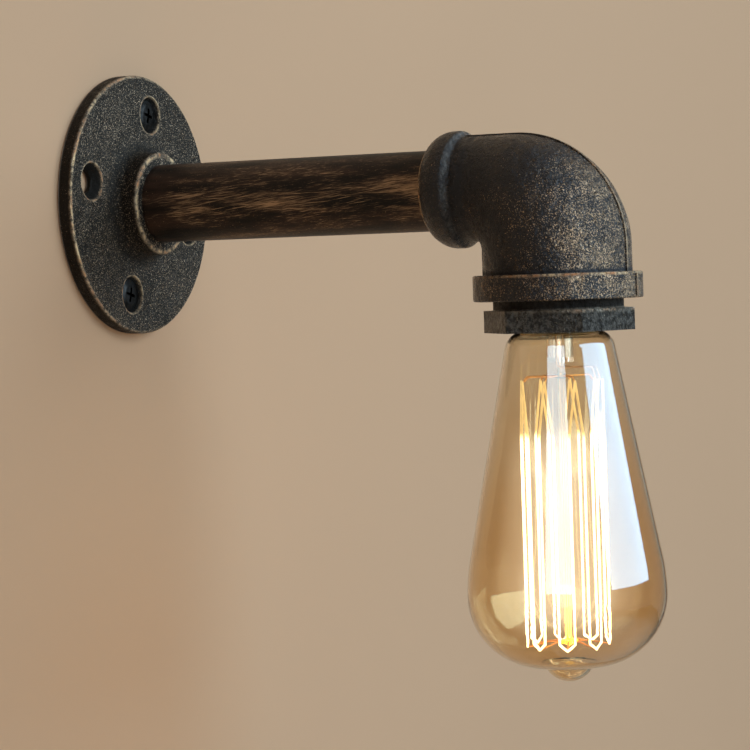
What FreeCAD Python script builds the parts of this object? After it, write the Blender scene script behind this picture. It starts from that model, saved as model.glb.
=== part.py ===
"""A wall light of iron pipe fittings, as a parametric document in millimetres.

A round flange carries a straight pipe, a reducing elbow turns it down, and a
hexagon bushing in the elbow's mouth clamps a lampholder whose bulb hangs straight
down. The origin is the centre of the flange's back face, +Z is up, and the pipe
runs out from the wall along -Y. Heights below the pipe's axis are called drops.
"""
import FreeCAD, Part
import math
import os

import Sketcher

Vector = FreeCAD.Vector

SIZES = [
    ("flange_dia", 89.0, "wall flange, outside diameter"),
    ("flange_thick", 5.0, "wall flange, thickness of the plate"),
    ("flange_edge", 0.8, "wall flange, rounding of the front rim"),
    ("hub_dia", 35.2, "wall flange, outside diameter of the hub's mouth"),
    ("hub_rise", 8.5, "wall flange, height of the hub above the plate"),
    ("hub_foot", 4.0, "wall flange, rounding where the hub meets the plate"),
    ("hole_circle", 63.8, "wall flange, diameter of the screw holes' circle"),
    ("hole_mouth", 13.0, "wall flange, screw hole at the front"),
    ("hole_dia", 8.4, "wall flange, screw hole at the back"),
    ("hole_land", 1.5, "wall flange, straight part of a screw hole"),
    ("hole_turn", 14.0, "wall flange, turn of the holes from upright, in degrees"),
    ("screw_head", 10.6, "wall screw, head diameter"),
    ("screw_shank", 4.2, "wall screw, shank diameter"),
    ("screw_length", 30.0, "wall screw, length behind the wall face"),
    ("screw_edge", 0.3, "wall screw, height of the head's upright edge"),
    ("screw_dome", 1.1, "wall screw, rise of the head's crown"),
    ("recess_span", 5.2, "wall screw, length of the cross recess"),
    ("recess_slot", 1.1, "wall screw, width of the cross recess"),
    ("recess_deep", 1.6, "wall screw, depth of the cross recess"),
    ("pipe_dia", 26.6, "pipe, outside diameter"),
    ("pipe_bore", 20.8, "pipe, inside diameter"),
    ("pipe_inset", 1.5, "pipe, gap from the wall to its end"),
    ("arm_reach", 161.5, "wall to the axis of the bulb"),
    ("fit_gap", 0.05, "radial clearance of a turned or screwed fit"),
    ("end_gap", 0.3, "clearance at the end of a screwed fit"),
    ("cut_past", 1.0, "distance that a cut runs on past the face it opens"),
    ("bead_run", 7.3, "elbow, crest of the inlet bead to the start of the bend"),
    ("bead_dia", 38.4, "elbow, diameter over the inlet bead"),
    ("bead_round", 8.7, "elbow, radius of the bead's section"),
    ("bead_face", 7.2, "elbow, crest of the bead to its flat face"),
    ("bead_flat", 2.4, "elbow, straight part of the bead beyond its crest"),
    ("bead_fall", 1.5, "elbow, length of the slope from the bead to the inlet"),
    ("bead_shoulder", 1.4, "elbow, rounding at the top and foot of that slope"),
    ("inlet_dia", 34.4, "elbow, outside diameter of the inlet"),
    ("barrel_dia", 48.4, "elbow, outside diameter of the outlet"),
    ("throat_round", 3.0, "elbow, radius of the inner corner"),
    ("elbow_wall", 4.2, "elbow, thickness of the wall"),
    ("band_drop", 36.8, "elbow, drop to the end of the outlet band"),
    ("band_tall", 8.5, "elbow, height of the outlet band"),
    ("band_dia", 54.9, "elbow, diameter of the outlet band"),
    ("band_edge", 0.7, "elbow, rounding of the outlet band"),
    ("seam_proud", 0.45, "elbow, height of the mould line along the back"),
    ("seam_wide", 1.5, "elbow, width of the mould line"),
    ("thread_dia", 42.2, "bushing, outside diameter of its screwed end"),
    ("bushing_bore", 35.4, "bushing, bore"),
    ("neck_tall", 3.0, "bushing, neck between the band and the hexagon"),
    ("neck_foot", 0.35, "bushing, rounding where the neck meets the hexagon"),
    ("thread_lead", 1.0, "bushing, chamfer at the start of its thread"),
    ("hex_flats", 43.2, "bushing, hexagon across flats"),
    ("hex_tall", 7.2, "bushing, height of the hexagon"),
    ("hex_turn", -18.6, "bushing, turn of the hexagon about its axis, in degrees"),
    ("hex_edge", 0.5, "bushing, chamfer of the bore's mouth"),
    ("holder_dia", 34.0, "lampholder, outside diameter of the body"),
    ("holder_top", 10.0, "lampholder, drop to the top of the body"),
    ("holder_end", 41.0, "lampholder, drop to the open end"),
    ("holder_rim", 41.6, "lampholder, diameter of the clamped collar"),
    ("holder_collar", 3.0, "lampholder, thickness of the clamped collar"),
    ("holder_floor", 7.0, "lampholder, thickness of the floor above the shell"),
    ("shell_major", 26.8, "screw shell, inside diameter between the threads"),
    ("shell_minor", 24.9, "screw shell, inside diameter over the threads"),
    ("shell_wall", 0.5, "screw shell, thickness"),
    ("shell_end", 1.0, "screw shell, set back from the lampholder's open end"),
    ("shell_tab", 7.0, "screw shell, width of the tab across the floor"),
    ("tab_inset", 0.6, "screw shell, end of the tab to the middle of the wall"),
    ("thread_pitch", 3.629, "lamp thread, pitch"),
    ("thread_root", 0.05, "lamp thread, depth of a ridge's foot in its wall"),
    ("post_offset", 6.5, "lampholder, axis to each rivet and terminal"),
    ("rivet_dia", 2.6, "rivet, shank diameter"),
    ("rivet_head", 4.6, "rivet, head diameter"),
    ("rivet_cap", 0.8, "rivet, height of the head"),
    ("tongue_thick", 0.4, "centre contact, thickness of the strip"),
    ("tongue_wide", 6.0, "centre contact, width of the strip"),
    ("tongue_past", 2.4, "centre contact, reach past the axis"),
    ("contact_fall", 1.5, "lampholder floor to the bulb's contact"),
    ("touch_gap", 0.04, "gap left between pieces that press together"),
    ("block_wide", 6.0, "terminal block, width"),
    ("block_long", 8.0, "terminal block, length along the wire"),
    ("block_tall", 6.0, "terminal block, height"),
    ("block_bore", 2.2, "terminal block, bore for the wire"),
    ("clamp_dia", 3.0, "terminal screw, shank diameter"),
    ("clamp_head", 4.4, "terminal screw, head diameter"),
    ("clamp_cap", 1.6, "terminal screw, height of the head"),
    ("slot_wide", 0.7, "terminal and earth screws, width of the slot"),
    ("slot_deep", 0.8, "terminal and earth screws, depth of the slot"),
    ("boss_dia", 9.0, "elbow, diameter of the earth boss in its roof"),
    ("boss_tall", 4.3, "elbow, height of the earth boss below the roof"),
    ("earth_dia", 3.9, "earth screw, shank diameter"),
    ("earth_head", 7.0, "earth screw, head diameter"),
    ("earth_cap", 2.4, "earth screw, height of the head"),
    ("earth_bite", 5.5, "earth screw, depth in the boss"),
    ("tag_dia", 8.2, "earth tag, diameter of the ring"),
    ("tag_thick", 0.8, "earth tag, thickness"),
    ("tag_reach", 9.0, "earth tag, screw to the start of the barrel"),
    ("tag_barrel", 5.0, "earth tag, length of the crimped barrel"),
    ("tag_tube", 3.6, "earth tag, outside diameter of the barrel"),
    ("wire_dia", 2.3, "wire, diameter over the insulation"),
    ("wire_end", 9.0, "wires, wall to the end of the insulation"),
    ("wire_lead", 2.0, "live and neutral wires, straight part at the terminal block"),
    ("wire_bend", 14.0, "live and neutral wires, length of the S bend"),
    ("ferrule_dia", 1.9, "ferrule, diameter"),
    ("ferrule_long", 7.5, "ferrule, length"),
    ("cap_minor", 24.3, "bulb cap, diameter between the threads"),
    ("cap_major", 26.1, "bulb cap, diameter over the threads"),
    ("cap_wall", 0.5, "bulb cap, thickness"),
    ("cap_crown", 3.7, "bulb cap, height of the insulator above the shell"),
    ("cap_corner", 1.0, "bulb cap, chamfer around the crown"),
    ("cap_length", 26.5, "bulb cap, contact to rim"),
    ("cap_flare", 27.2, "bulb cap, diameter of the rim"),
    ("cap_skirt", 3.0, "bulb cap, height of the flared rim"),
    ("contact_dia", 9.5, "bulb contact, diameter"),
    ("contact_thick", 0.8, "bulb contact, thickness"),
    ("contact_slope", 0.6, "bulb contact, width of the slope around it"),
    ("contact_lip", 0.3, "bulb contact, height of that slope"),
    ("insulator_lip", 0.6, "cap insulator, width of the ring around the contact"),
    ("cement_inset", 0.6, "cement, gap to the rim of the cap"),
    ("cement_short", 1.0, "cement, gap to the end of the glass neck"),
    ("neck_dia", 21.8, "bulb glass, outside diameter of the neck"),
    ("neck_long", 14.0, "bulb glass, length of the neck inside the cap"),
    ("glass_wall", 0.9, "bulb glass, thickness"),
    ("shoulder_dia", 35.8, "bulb glass, diameter below the shoulder"),
    ("shoulder_drop", 7.0, "bulb glass, rim of the cap to the end of the shoulder"),
    ("shoulder_round", 6.5, "bulb glass, radius of the shoulder"),
    ("neck_round", 0.8, "bulb glass, radius between the neck and the shoulder"),
    ("belly_dia", 64.8, "bulb glass, largest diameter"),
    ("belly_drop", 87.0, "bulb glass, rim of the cap to the largest diameter"),
    ("side_round", 60.0, "bulb glass, radius above the largest diameter"),
    ("base_round", 23.5, "bulb glass, radius below the largest diameter"),
    ("nipple_dia", 15.0, "bulb glass, diameter of the sealed tip"),
    ("nipple_step", 0.5, "bulb glass, drop from the base to the sealed tip"),
    ("nipple_tall", 4.4, "bulb glass, height of the sealed tip"),
    ("stem_dia", 8.7, "bulb stem, outside diameter of the tube"),
    ("stem_wall", 0.8, "bulb stem, thickness"),
    ("stem_drop", 12.0, "bulb stem, rim of the cap to the end of the stem"),
    ("rod_dia", 2.2, "bulb rod, diameter"),
    ("button_gap", 2.9, "bulb rod, lead wires to the middle of the upper button"),
    ("button_rise", 1.5, "bulb rod, each button above the filament's turns beside it"),
    ("button_dia", 6.0, "bulb rod, diameter of each button"),
    ("button_tall", 1.8, "bulb rod, thickness of each button"),
    ("support_dia", 0.5, "filament supports and leads, diameter"),
    ("lead_side", 2.6, "lead wires, distance from the axis in the stem"),
    ("lead_clear", 2.0, "lead wires, end of the glass neck to where they part"),
    ("lead_slant", 5.2, "lead wires, height over which they part"),
    ("lead_round", 1.5, "lead wires, radius of the bends in the cap"),
    ("lead_drop", 1.6, "lead wires, end of the stem to their bend"),
    ("hook_inset", 2.0, "leads and upper supports, cage radius to their bend"),
    ("foot_inset", 7.5, "lower supports, cage radius to their bend"),
    ("hook_round", 1.4, "supports and leads, radius of each bend"),
    ("cage_dia", 27.0, "filament, diameter of the cage"),
    ("cage_gap", 6.5, "filament, lower turns above the outside of the bulb's base"),
    ("filament_dia", 0.8, "filament, diameter of the coiled strand"),
    ("strand_pairs", 8, "filament, number of pairs of upright strands"),
    ("loop_spread", 18.0, "filament, height over which a loop opens below its hook"),
    ("foot_spread", 2.0, "filament, height over which two strands join above a lower hook"),
    ("strand_turn", -73.0, "filament, turn of the first strand, in degrees"),
]

# Rings along the elbow's quarter turn.
BEND_STEPS = 8
# Wall screw: slope under the head, and the break in its crown.
SCREW_CONE = 0.75
CROWN_SPAN = 0.62
CROWN_RISE = 0.8
# Rivet: width of the flat on its head.
RIVET_CROWN = 0.8
# Lamp thread, in pitches: half width of a ridge, and its start above the skirt.
RIDGE_FOOT = 0.27
RIDGE_CREST = 0.12
THREAD_LEAD_IN = 0.42
# Bulb cap: set back of the inner corners of a fold, in wall thicknesses.
WALL_CORNER = 0.4
# Wires: roundness of the S bend, and the part of a slant above its middle.
BEND_SHARE = 0.9
PART_SHARE = 0.6


class Size:
    """A number together with the sheet formula that gives it."""

    def __init__(self, number, formula):
        self.number = number
        self.formula = formula

    def __add__(self, other):
        other = size_of(other)
        return Size(self.number + other.number, f"({self.formula} + {other.formula})")

    def __sub__(self, other):
        other = size_of(other)
        return Size(self.number - other.number, f"({self.formula} - {other.formula})")

    def __mul__(self, other):
        other = size_of(other)
        return Size(self.number * other.number, f"({self.formula} * {other.formula})")

    def __truediv__(self, other):
        other = size_of(other)
        return Size(self.number / other.number, f"({self.formula} / {other.formula})")

    def __neg__(self):
        return Size(-self.number, f"(-1 * {self.formula})")

    def __radd__(self, other):
        return size_of(other) + self

    def __rsub__(self, other):
        return size_of(other) - self

    def __rmul__(self, other):
        return size_of(other) * self


def size_of(value):
    """Wrap a bare number, so that it can stand in a formula."""
    return value if isinstance(value, Size) else Size(float(value), f"{float(value):.6f}")


def root(size):
    """Square root of a size."""
    return Size(math.sqrt(size.number), f"sqrt({size.formula})")


class Sheet:
    """The driving sizes: a spreadsheet whose aliases are also attributes here."""

    def __init__(self, doc):
        self.sheet = doc.addObject("Spreadsheet::Sheet", "sizes")
        for row, (alias, value, note) in enumerate(SIZES, start=1):
            self.sheet.set(f"A{row}", alias)
            self.sheet.set(f"B{row}", str(value))
            self.sheet.set(f"C{row}", note)
            self.sheet.setAlias(f"B{row}", alias)
        doc.recompute()
        for alias, _, _ in SIZES:
            number = float(self.sheet.get(alias))
            setattr(self, alias, Size(number, f"sizes.{alias}"))


def bind(item, path, size):
    """Tie one property of an object to the formula of a size."""
    size = size_of(size)
    item.setExpression(path, size.formula)


UPRIGHT = FreeCAD.Rotation()
OUTWARDS = FreeCAD.Rotation(Vector(1, 0, 0), 90)
WALLWARDS = FreeCAD.Rotation(Vector(1, 0, 0), -90)
DOWNWARDS = FreeCAD.Rotation(Vector(1, 0, 0), 180)


def place(item, x=0, y=0, z=0, spin=UPRIGHT):
    """Put an object at a bound place with a plain turn."""
    corner = Vector(size_of(x).number, size_of(y).number, size_of(z).number)
    item.Placement = FreeCAD.Placement(corner, spin)
    for letter, value in zip("xyz", (x, y, z)):
        if isinstance(value, Size):
            bind(item, f"Placement.Base.{letter}", value)


def cylinder(doc, name, radius, height, at=(0, 0, 0), spin=UPRIGHT):
    """A bound cylinder that starts at a place and runs in the aimed direction."""
    item = doc.addObject("Part::Cylinder", name)
    bind(item, "Radius", radius)
    bind(item, "Height", height)
    place(item, *at, spin=spin)
    return item


def box(doc, name, long, wide, tall, at):
    """A bound box from its lowest corner."""
    item = doc.addObject("Part::Box", name)
    bind(item, "Length", long)
    bind(item, "Width", wide)
    bind(item, "Height", tall)
    place(item, *at)
    return item


def chain(doc, kind, name, base, tools):
    """Apply one kind of boolean with each tool in turn."""
    whole = base
    for number, tool in enumerate(tools, 1):
        label = name if number == len(tools) else f"{name}_{number}"
        step = doc.addObject(kind, label)
        step.Refine = False
        step.Base = whole
        step.Tool = tool
        whole = step
    return whole


def fuse(doc, name, base, *tools):
    """Join objects one after another into one solid."""
    return chain(doc, "Part::Fuse", name, base, tools)


def cut(doc, name, base, *tools):
    """Take objects away from another, one after another."""
    return chain(doc, "Part::Cut", name, base, tools)


def body_of(doc, label, x=0, y=0, z=0, spin=UPRIGHT, several=False):
    """A new body for one sub-part."""
    body = doc.addObject("PartDesign::Body", label)
    body.AllowCompound = several
    place(body, x, y, z, spin)
    return body


def sketch_on(body, role, name):
    """A sketch on one of the body's own origin planes."""
    sketch = body.newObject("Sketcher::SketchObject", name)
    planes = [item for item in body.Origin.OriginFeatures if item.Role == role]
    sketch.AttachmentSupport = [(planes[0], "")]
    sketch.MapMode = "FlatFace"
    return sketch


def outline(sketch, corners):
    """A closed outline of straight lines through bound corners."""
    first = sketch.GeometryCount
    points = [Vector(size_of(a).number, size_of(b).number, 0) for a, b in corners]
    total = len(points)
    for index in range(total):
        ahead = points[(index + 1) % total]
        sketch.addGeometry(Part.LineSegment(points[index], ahead), False)
    for index in range(total):
        this, ahead = first + index, first + (index + 1) % total
        sketch.addConstraint(Sketcher.Constraint("Coincident", this, 2, ahead, 1))
    for index, corner in enumerate(corners):
        for kind, size in zip(("DistanceX", "DistanceY"), corner):
            pin(sketch, kind, first + index, 1, size)
    return first


def pin(sketch, kind, geometry, point, size):
    """Hold one coordinate of a sketch point at a bound value."""
    size = size_of(size)
    rule = Sketcher.Constraint(kind, geometry, point, size.number)
    number = sketch.addConstraint(rule)
    if "sizes." in size.formula:
        sketch.setExpression(f"Constraints[{number}]", size.formula)


def circle_in(sketch, radius, at=(0, 0)):
    """A bound circle in a sketch."""
    radius = size_of(radius)
    centre = Vector(size_of(at[0]).number, size_of(at[1]).number, 0)
    number = sketch.GeometryCount
    sketch.addGeometry(Part.Circle(centre, Vector(0, 0, 1), radius.number), False)
    pin(sketch, "DistanceX", number, 3, at[0])
    pin(sketch, "DistanceY", number, 3, at[1])
    rule = sketch.addConstraint(Sketcher.Constraint("Radius", number, radius.number))
    sketch.setExpression(f"Constraints[{rule}]", radius.formula)


def turned(body, role, corners, name="turning", centre=None):
    """Turn an outline about the plane's upright axis, or a line beside it."""
    sketch = sketch_on(body, role, name + "_outline")
    outline(sketch, corners)
    axis = "V_Axis"
    if centre is not None:
        axis = axis_line(sketch, centre)
    feature = body.newObject("PartDesign::Revolution", name)
    feature.Profile = sketch
    feature.ReferenceAxis = (sketch, [axis])
    feature.Angle = 360
    return feature


def axis_line(sketch, centre):
    """A construction line that stands at a bound distance from the axis."""
    number = sketch.GeometryCount
    across = size_of(centre).number
    line = Part.LineSegment(Vector(across, 0, 0), Vector(across, 10, 0))
    sketch.addGeometry(line, True)
    pin(sketch, "DistanceX", number, 1, centre)
    pin(sketch, "DistanceY", number, 1, 0)
    pin(sketch, "DistanceX", number, 2, centre)
    pin(sketch, "DistanceY", number, 2, 10)
    return "Axis0"


def grooved(body, role, corners, name, centre):
    """Turn an outline about a bound line and take it away."""
    sketch = sketch_on(body, role, name + "_outline")
    outline(sketch, corners)
    axis = axis_line(sketch, centre)
    feature = body.newObject("PartDesign::Groove", name)
    feature.Profile = sketch
    feature.ReferenceAxis = (sketch, [axis])
    feature.Angle = 360
    return feature


def origin_axis(body, role):
    """One of the body's own axes."""
    return [item for item in body.Origin.OriginFeatures if item.Role == role][0]


def round_edges(body, name, size, wanted, kind="Fillet"):
    """Round or chamfer the edges of the body's tip that a test picks out."""
    base = body.Tip
    names = [f"Edge{n}" for n, edge in enumerate(base.Shape.Edges, 1) if wanted(edge)]
    feature = body.newObject(f"PartDesign::{kind}", name)
    feature.Base = (base, names)
    bind(feature, "Radius" if kind == "Fillet" else "Size", size)
    return feature


def is_ring(edge, radius, low, high, letter="z"):
    """Whether an edge is a full circle of a radius whose centre lies in a range."""
    if not isinstance(edge.Curve, Part.Circle) or not edge.Closed:
        return False
    place_of = getattr(edge.Curve.Center, letter)
    return abs(edge.Curve.Radius - radius) < 0.02 and low <= place_of <= high


def route(points, radii):
    """A path of straight runs joined by tangent arcs."""
    edges = []
    start = points[0]
    for corner, after, radius in zip(points[1:-1], points[2:], radii):
        back = (start - corner).normalize()
        ahead = (after - corner).normalize()
        half = back.getAngle(ahead) / 2
        trim = radius / math.tan(half)
        enter = corner + back * trim
        leave = corner + ahead * trim
        inward = (back + ahead).normalize()
        crown = corner + inward * (radius / math.sin(half) - radius)
        edges.append(Part.LineSegment(start, enter).toShape())
        edges.append(Part.Arc(enter, crown, leave).toShape())
        start = leave
    edges.append(Part.LineSegment(start, points[-1]).toShape())
    return Part.Wire(edges)


def tube_along(path, radius):
    """A round solid along a path."""
    edge = path.Edges[0]
    start = edge.valueAt(edge.FirstParameter)
    heading = edge.tangentAt(edge.FirstParameter)
    ring = Part.Wire(Part.makeCircle(radius, start, heading))
    solid = path.makePipeShell([ring], True, False)
    if abs(solid.Volume / (math.pi * radius**2 * path.Length) - 1) > 0.02:
        raise ValueError("a tube does not fill its route")
    return solid


def shaped(doc, label, shape, y=0.0):
    """A sub-part whose shape is made straight from the sizes."""
    item = doc.addObject("Part::Feature", label)
    item.Shape = shape
    item.Placement = FreeCAD.Placement(Vector(0, y, 0), FreeCAD.Rotation())
    return item


class Layout:
    """Places that several sub-parts share, worked out from the sheet."""

    def __init__(self, s):
        self.pipe_r = s.pipe_dia / 2
        self.pipe_hole = self.pipe_r + s.fit_gap
        self.bulb_y = -s.arm_reach
        self.hub_y = -(s.flange_thick + s.hub_rise)
        self.seat = s.inlet_dia / 2 + s.throat_round
        self.bend_y = -(s.arm_reach - s.barrel_dia / 2 - s.throat_round)
        self.pipe_end = self.bend_y + s.end_gap
        self.bead_y = self.bend_y + s.bead_run
        self.back_round = s.inlet_dia + s.throat_round
        self.back_out = s.barrel_dia - s.inlet_dia
        across = s.barrel_dia / 2 + s.throat_round - self.back_out
        self.roof = root(self.back_round * self.back_round - across * across) - self.seat
        self.boss_z = self.roof - s.elbow_wall - s.boss_tall
        self.bushing_end = self.seat + s.holder_collar
        self.hex_top = s.band_drop + s.neck_tall
        self.hex_end = self.hex_top + s.hex_tall
        self.floor = s.holder_top + s.holder_floor
        self.contact = self.floor + s.contact_fall
        self.crown = self.contact + s.cap_crown
        self.rim = self.contact + s.cap_length
        self.earth_z = self.boss_z - s.tag_thick / 2
        self.block_y = self.bulb_y + s.block_long / 2
        self.lead_fall = s.stem_drop + s.lead_drop
        self.upper_drop = self.lead_fall + s.button_gap
        self.cage_top = self.upper_drop + s.button_rise
        self.cage_base = s.belly_drop + s.base_round - s.cage_gap
        self.lower_drop = self.cage_base - s.button_rise
        self.strands = 2 * int(s.strand_pairs.number)


def sine(angle):
    """Sine of a plain angle in degrees."""
    return math.sin(math.radians(angle))


def cosine(angle):
    """Cosine of a plain angle in degrees."""
    return math.cos(math.radians(angle))


def wall_flange(doc, s, at):
    """The round cast plate and its hub, with four tapered screw holes."""
    spin = FreeCAD.Rotation(Vector(0, -1, 0), 90 - s.hole_turn.number)
    body = body_of(doc, "wall_flange", spin=spin)
    plate, hub = s.flange_dia / 2, s.hub_dia / 2
    corners = [
        (at.pipe_hole, 0),
        (plate, 0),
        (plate, -s.flange_thick),
        (hub, -s.flange_thick),
        (hub, at.hub_y),
        (at.pipe_hole, at.hub_y),
    ]
    turned(body, "XY_Plane", corners, "flange_turning")
    doc.recompute()
    rim_y, foot_y = -s.flange_thick.number, -s.flange_thick.number
    round_edges(
        body, "hub_foot", s.hub_foot, lambda e: is_ring(e, hub.number, foot_y - 0.1, foot_y + 0.1, "y")
    )
    doc.recompute()
    round_edges(
        body, "plate_rim", s.flange_edge, lambda e: is_ring(e, plate.number, rim_y - 0.1, rim_y + 0.1, "y")
    )
    doc.recompute()
    mouth_y = at.hub_y.number
    round_edges(
        body, "hub_mouth", s.flange_edge, lambda e: is_ring(e, hub.number, mouth_y - 0.1, mouth_y + 0.1, "y")
    )
    doc.recompute()
    centre = s.hole_circle / 2
    narrow, wide = centre + s.hole_dia / 2, centre + s.hole_mouth / 2
    hole = [
        (centre, s.cut_past),
        (narrow, s.cut_past),
        (narrow, -s.hole_land),
        (wide, -s.flange_thick),
        (wide, -s.flange_thick - s.cut_past),
        (centre, -s.flange_thick - s.cut_past),
    ]
    groove = grooved(body, "XY_Plane", hole, "screw_hole", centre)
    doc.recompute()
    polar(body, "screw_holes", groove, "Y_Axis", 4)
    return body


def polar(body, name, original, axis, count):
    """Repeat features evenly about one of the body's axes."""
    pattern = body.newObject("PartDesign::PolarPattern", name)
    pattern.Originals = original if isinstance(original, list) else [original]
    pattern.Axis = (origin_axis(body, axis), [""])
    pattern.Angle = 360
    pattern.Occurrences = count
    body.Tip = pattern
    return pattern


def wall_screws(doc, s, at):
    """Two cross-recessed wood screws, whose heads seat in the tapered holes."""
    spin = FreeCAD.Rotation(Vector(0, -1, 0), 90 - s.hole_turn.number)
    body = body_of(doc, "wall_screws", spin=spin, several=True)
    centre = s.hole_circle / 2
    head, shank = s.screw_head / 2, s.screw_shank / 2
    taper = (s.flange_thick - s.hole_land) / ((s.hole_mouth - s.hole_dia) / 2)
    seat = -s.hole_land - (head - s.hole_dia / 2) * taper - s.fit_gap
    under = seat + (head - shank) * SCREW_CONE
    corners = [
        (centre, s.screw_length),
        (centre + shank, s.screw_length - s.screw_shank),
        (centre + shank, under),
        (centre + head, seat),
        (centre + head, seat - s.screw_edge),
        (centre + head * CROWN_SPAN, seat - s.screw_dome * CROWN_RISE),
        (centre, seat - s.screw_dome),
    ]
    turning = turned(body, "XY_Plane", corners, "screw_turning", centre)
    doc.recompute()
    sketch = sketch_on(body, "XZ_Plane", "recess_outline")
    slot, span = s.recess_slot / 2, s.recess_span / 2
    cross = [
        (centre - slot, -span),
        (centre + slot, -span),
        (centre + slot, -slot),
        (centre + span, -slot),
        (centre + span, slot),
        (centre + slot, slot),
        (centre + slot, span),
        (centre - slot, span),
        (centre - slot, slot),
        (centre - span, slot),
        (centre - span, -slot),
        (centre - slot, -slot),
    ]
    outline(sketch, cross)
    top = seat - s.screw_dome
    bind(sketch, "AttachmentOffset.Base.z", -(top + s.recess_deep))
    recess = body.newObject("PartDesign::Pocket", "recess")
    recess.Profile = sketch
    bind(recess, "Length", s.recess_deep + s.cut_past)
    recess.Reversed = True
    doc.recompute()
    polar(body, "screw_pair", [turning, recess], "Y_Axis", 2)
    return body


def arm_pipe(doc, s, at):
    """The straight pipe between the flange and the elbow."""
    body = body_of(doc, "arm_pipe")
    bore = s.pipe_bore / 2
    corners = [
        (bore, -s.pipe_inset),
        (at.pipe_r, -s.pipe_inset),
        (at.pipe_r, at.pipe_end),
        (bore, at.pipe_end),
    ]
    turned(body, "XY_Plane", corners, "pipe_turning")
    return body


def bend_ring(s, at, angle, wall):
    """Middle and radius of the bend's circle at one angle about the inner corner."""
    out = at.back_out.number
    reach = at.back_round.number - wall
    if angle < math.atan2(out, at.back_round.number):
        outer = reach / math.cos(angle)
    else:
        outer = out * math.sin(angle) + math.sqrt(reach**2 - (out * math.cos(angle)) ** 2)
    inner = s.throat_round.number + wall
    return (outer + inner) / 2, (outer - inner) / 2


def bend_row(rings, corner, turn):
    """Poles along the bend, at one place around its circles."""
    spread = 1 / math.cos(math.radians(45)) if turn % 2 else 1.0
    across, up = spread * cosine(45 * turn), spread * sine(45 * turn)
    points, tangents = [], []
    for angle, (middle, radius) in rings:
        reach = middle + radius * up
        points.append(
            corner
            + Vector(radius * across, -reach * math.sin(angle), reach * math.cos(angle))
        )
        tangents.append(Vector(0, -reach * math.cos(angle), -reach * math.sin(angle)))
    curve = Part.BSplineCurve()
    curve.interpolate(
        Points=points,
        Parameters=[angle for angle, ring in rings],
        InitialTangent=tangents[0],
        FinalTangent=tangents[-1],
    )
    return curve


def bend(doc, s, at, name, wall):
    """The tapering quarter turn: a skin through circles about the inner corner."""
    angles = [math.pi / 2 * step / BEND_STEPS for step in range(BEND_STEPS + 1)]
    rings = [(angle, bend_ring(s, at, angle, wall)) for angle in angles]
    corner = Vector(0, at.bend_y.number, -at.seat.number)
    rows = [bend_row(rings, corner, turn) for turn in range(9)]
    weights = [1.0 if turn % 2 == 0 else cosine(45) for turn in range(9)]
    surface = Part.BSplineSurface()
    surface.buildFromPolesMultsKnots(
        [row.getPoles() for row in rows],
        [3, 2, 2, 2, 3],
        rows[0].getMultiplicities(),
        [0.0, 0.25, 0.5, 0.75, 1.0],
        rows[0].getKnots(),
        False,
        False,
        2,
        rows[0].Degree,
        [[weight] * rows[0].NbPoles for weight in weights],
    )
    side = surface.toShape()
    ends = [
        Part.Face(Part.Wire(edge))
        for edge in side.Edges
        if edge.isClosed() and edge.Length > s.throat_round.number
    ]
    shell = Part.Shell([side, *ends])
    shell.sewShape()
    shell.fix(0.001, 0.001, 0.001)
    solid = Part.Solid(shell)
    if solid.Volume < 0:
        solid.reverse()
    return shaped(doc, name, solid)


def mould_line(doc, s, at):
    """The low ridge that the two mould halves leave along the back."""
    wide = s.seam_wide
    low_x = -wide / 2
    back_y = at.bend_y - at.back_out
    back_z = -at.seat
    reach = at.back_round + s.seam_proud
    pie = doc.addObject("Part::Cylinder", "seam_back")
    bind(pie, "Radius", reach)
    bind(pie, "Height", wide)
    pie.Angle = 90
    axes = (Vector(0, -1, 0), Vector(0, 0, 1), Vector(-1, 0, 0))
    place(pie, wide / 2, back_y, back_z, FreeCAD.Rotation(*axes, "ZXY"))
    top = box(
        doc,
        "seam_inlet",
        wide,
        at.bead_y - back_y,
        s.inlet_dia / 2 + s.seam_proud,
        (low_x, back_y, 0),
    )
    barrel = box(
        doc,
        "seam_barrel",
        wide,
        s.barrel_dia / 2 + s.seam_proud,
        s.band_drop + back_z,
        (low_x, at.bulb_y - s.barrel_dia / 2 - s.seam_proud, -s.band_drop),
    )
    band = box(
        doc,
        "seam_band",
        wide,
        s.band_dia / 2 + s.seam_proud,
        s.band_tall - s.band_edge * 2,
        (low_x, at.bulb_y - s.band_dia / 2 - s.seam_proud, -s.band_drop + s.band_edge),
    )
    return [pie, top, barrel, band]


def inlet_shoulder(doc, s, at):
    """The elbow's inlet from the bead's crest to the start of the bend."""
    body = body_of(doc, "inlet_shoulder")
    bead_r, inlet_r = s.bead_dia / 2, s.inlet_dia / 2
    crest_y = at.bead_y
    edge_y = crest_y - s.bead_flat
    foot_y = edge_y - s.bead_fall
    corners = [
        (0, crest_y),
        (bead_r, crest_y),
        (bead_r, edge_y),
        (inlet_r, foot_y),
        (inlet_r, at.bend_y),
        (0, at.bend_y),
    ]
    turned(body, "XY_Plane", corners, "inlet_turning")
    doc.recompute()

    def on_slope(edge):
        low, high = foot_y.number - 0.1, edge_y.number + 0.1
        return is_ring(edge, bead_r.number, low, high, "y") or is_ring(
            edge, inlet_r.number, low, high, "y"
        )

    round_edges(body, "inlet_rounding", s.bead_shoulder, on_slope)
    return body


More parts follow.
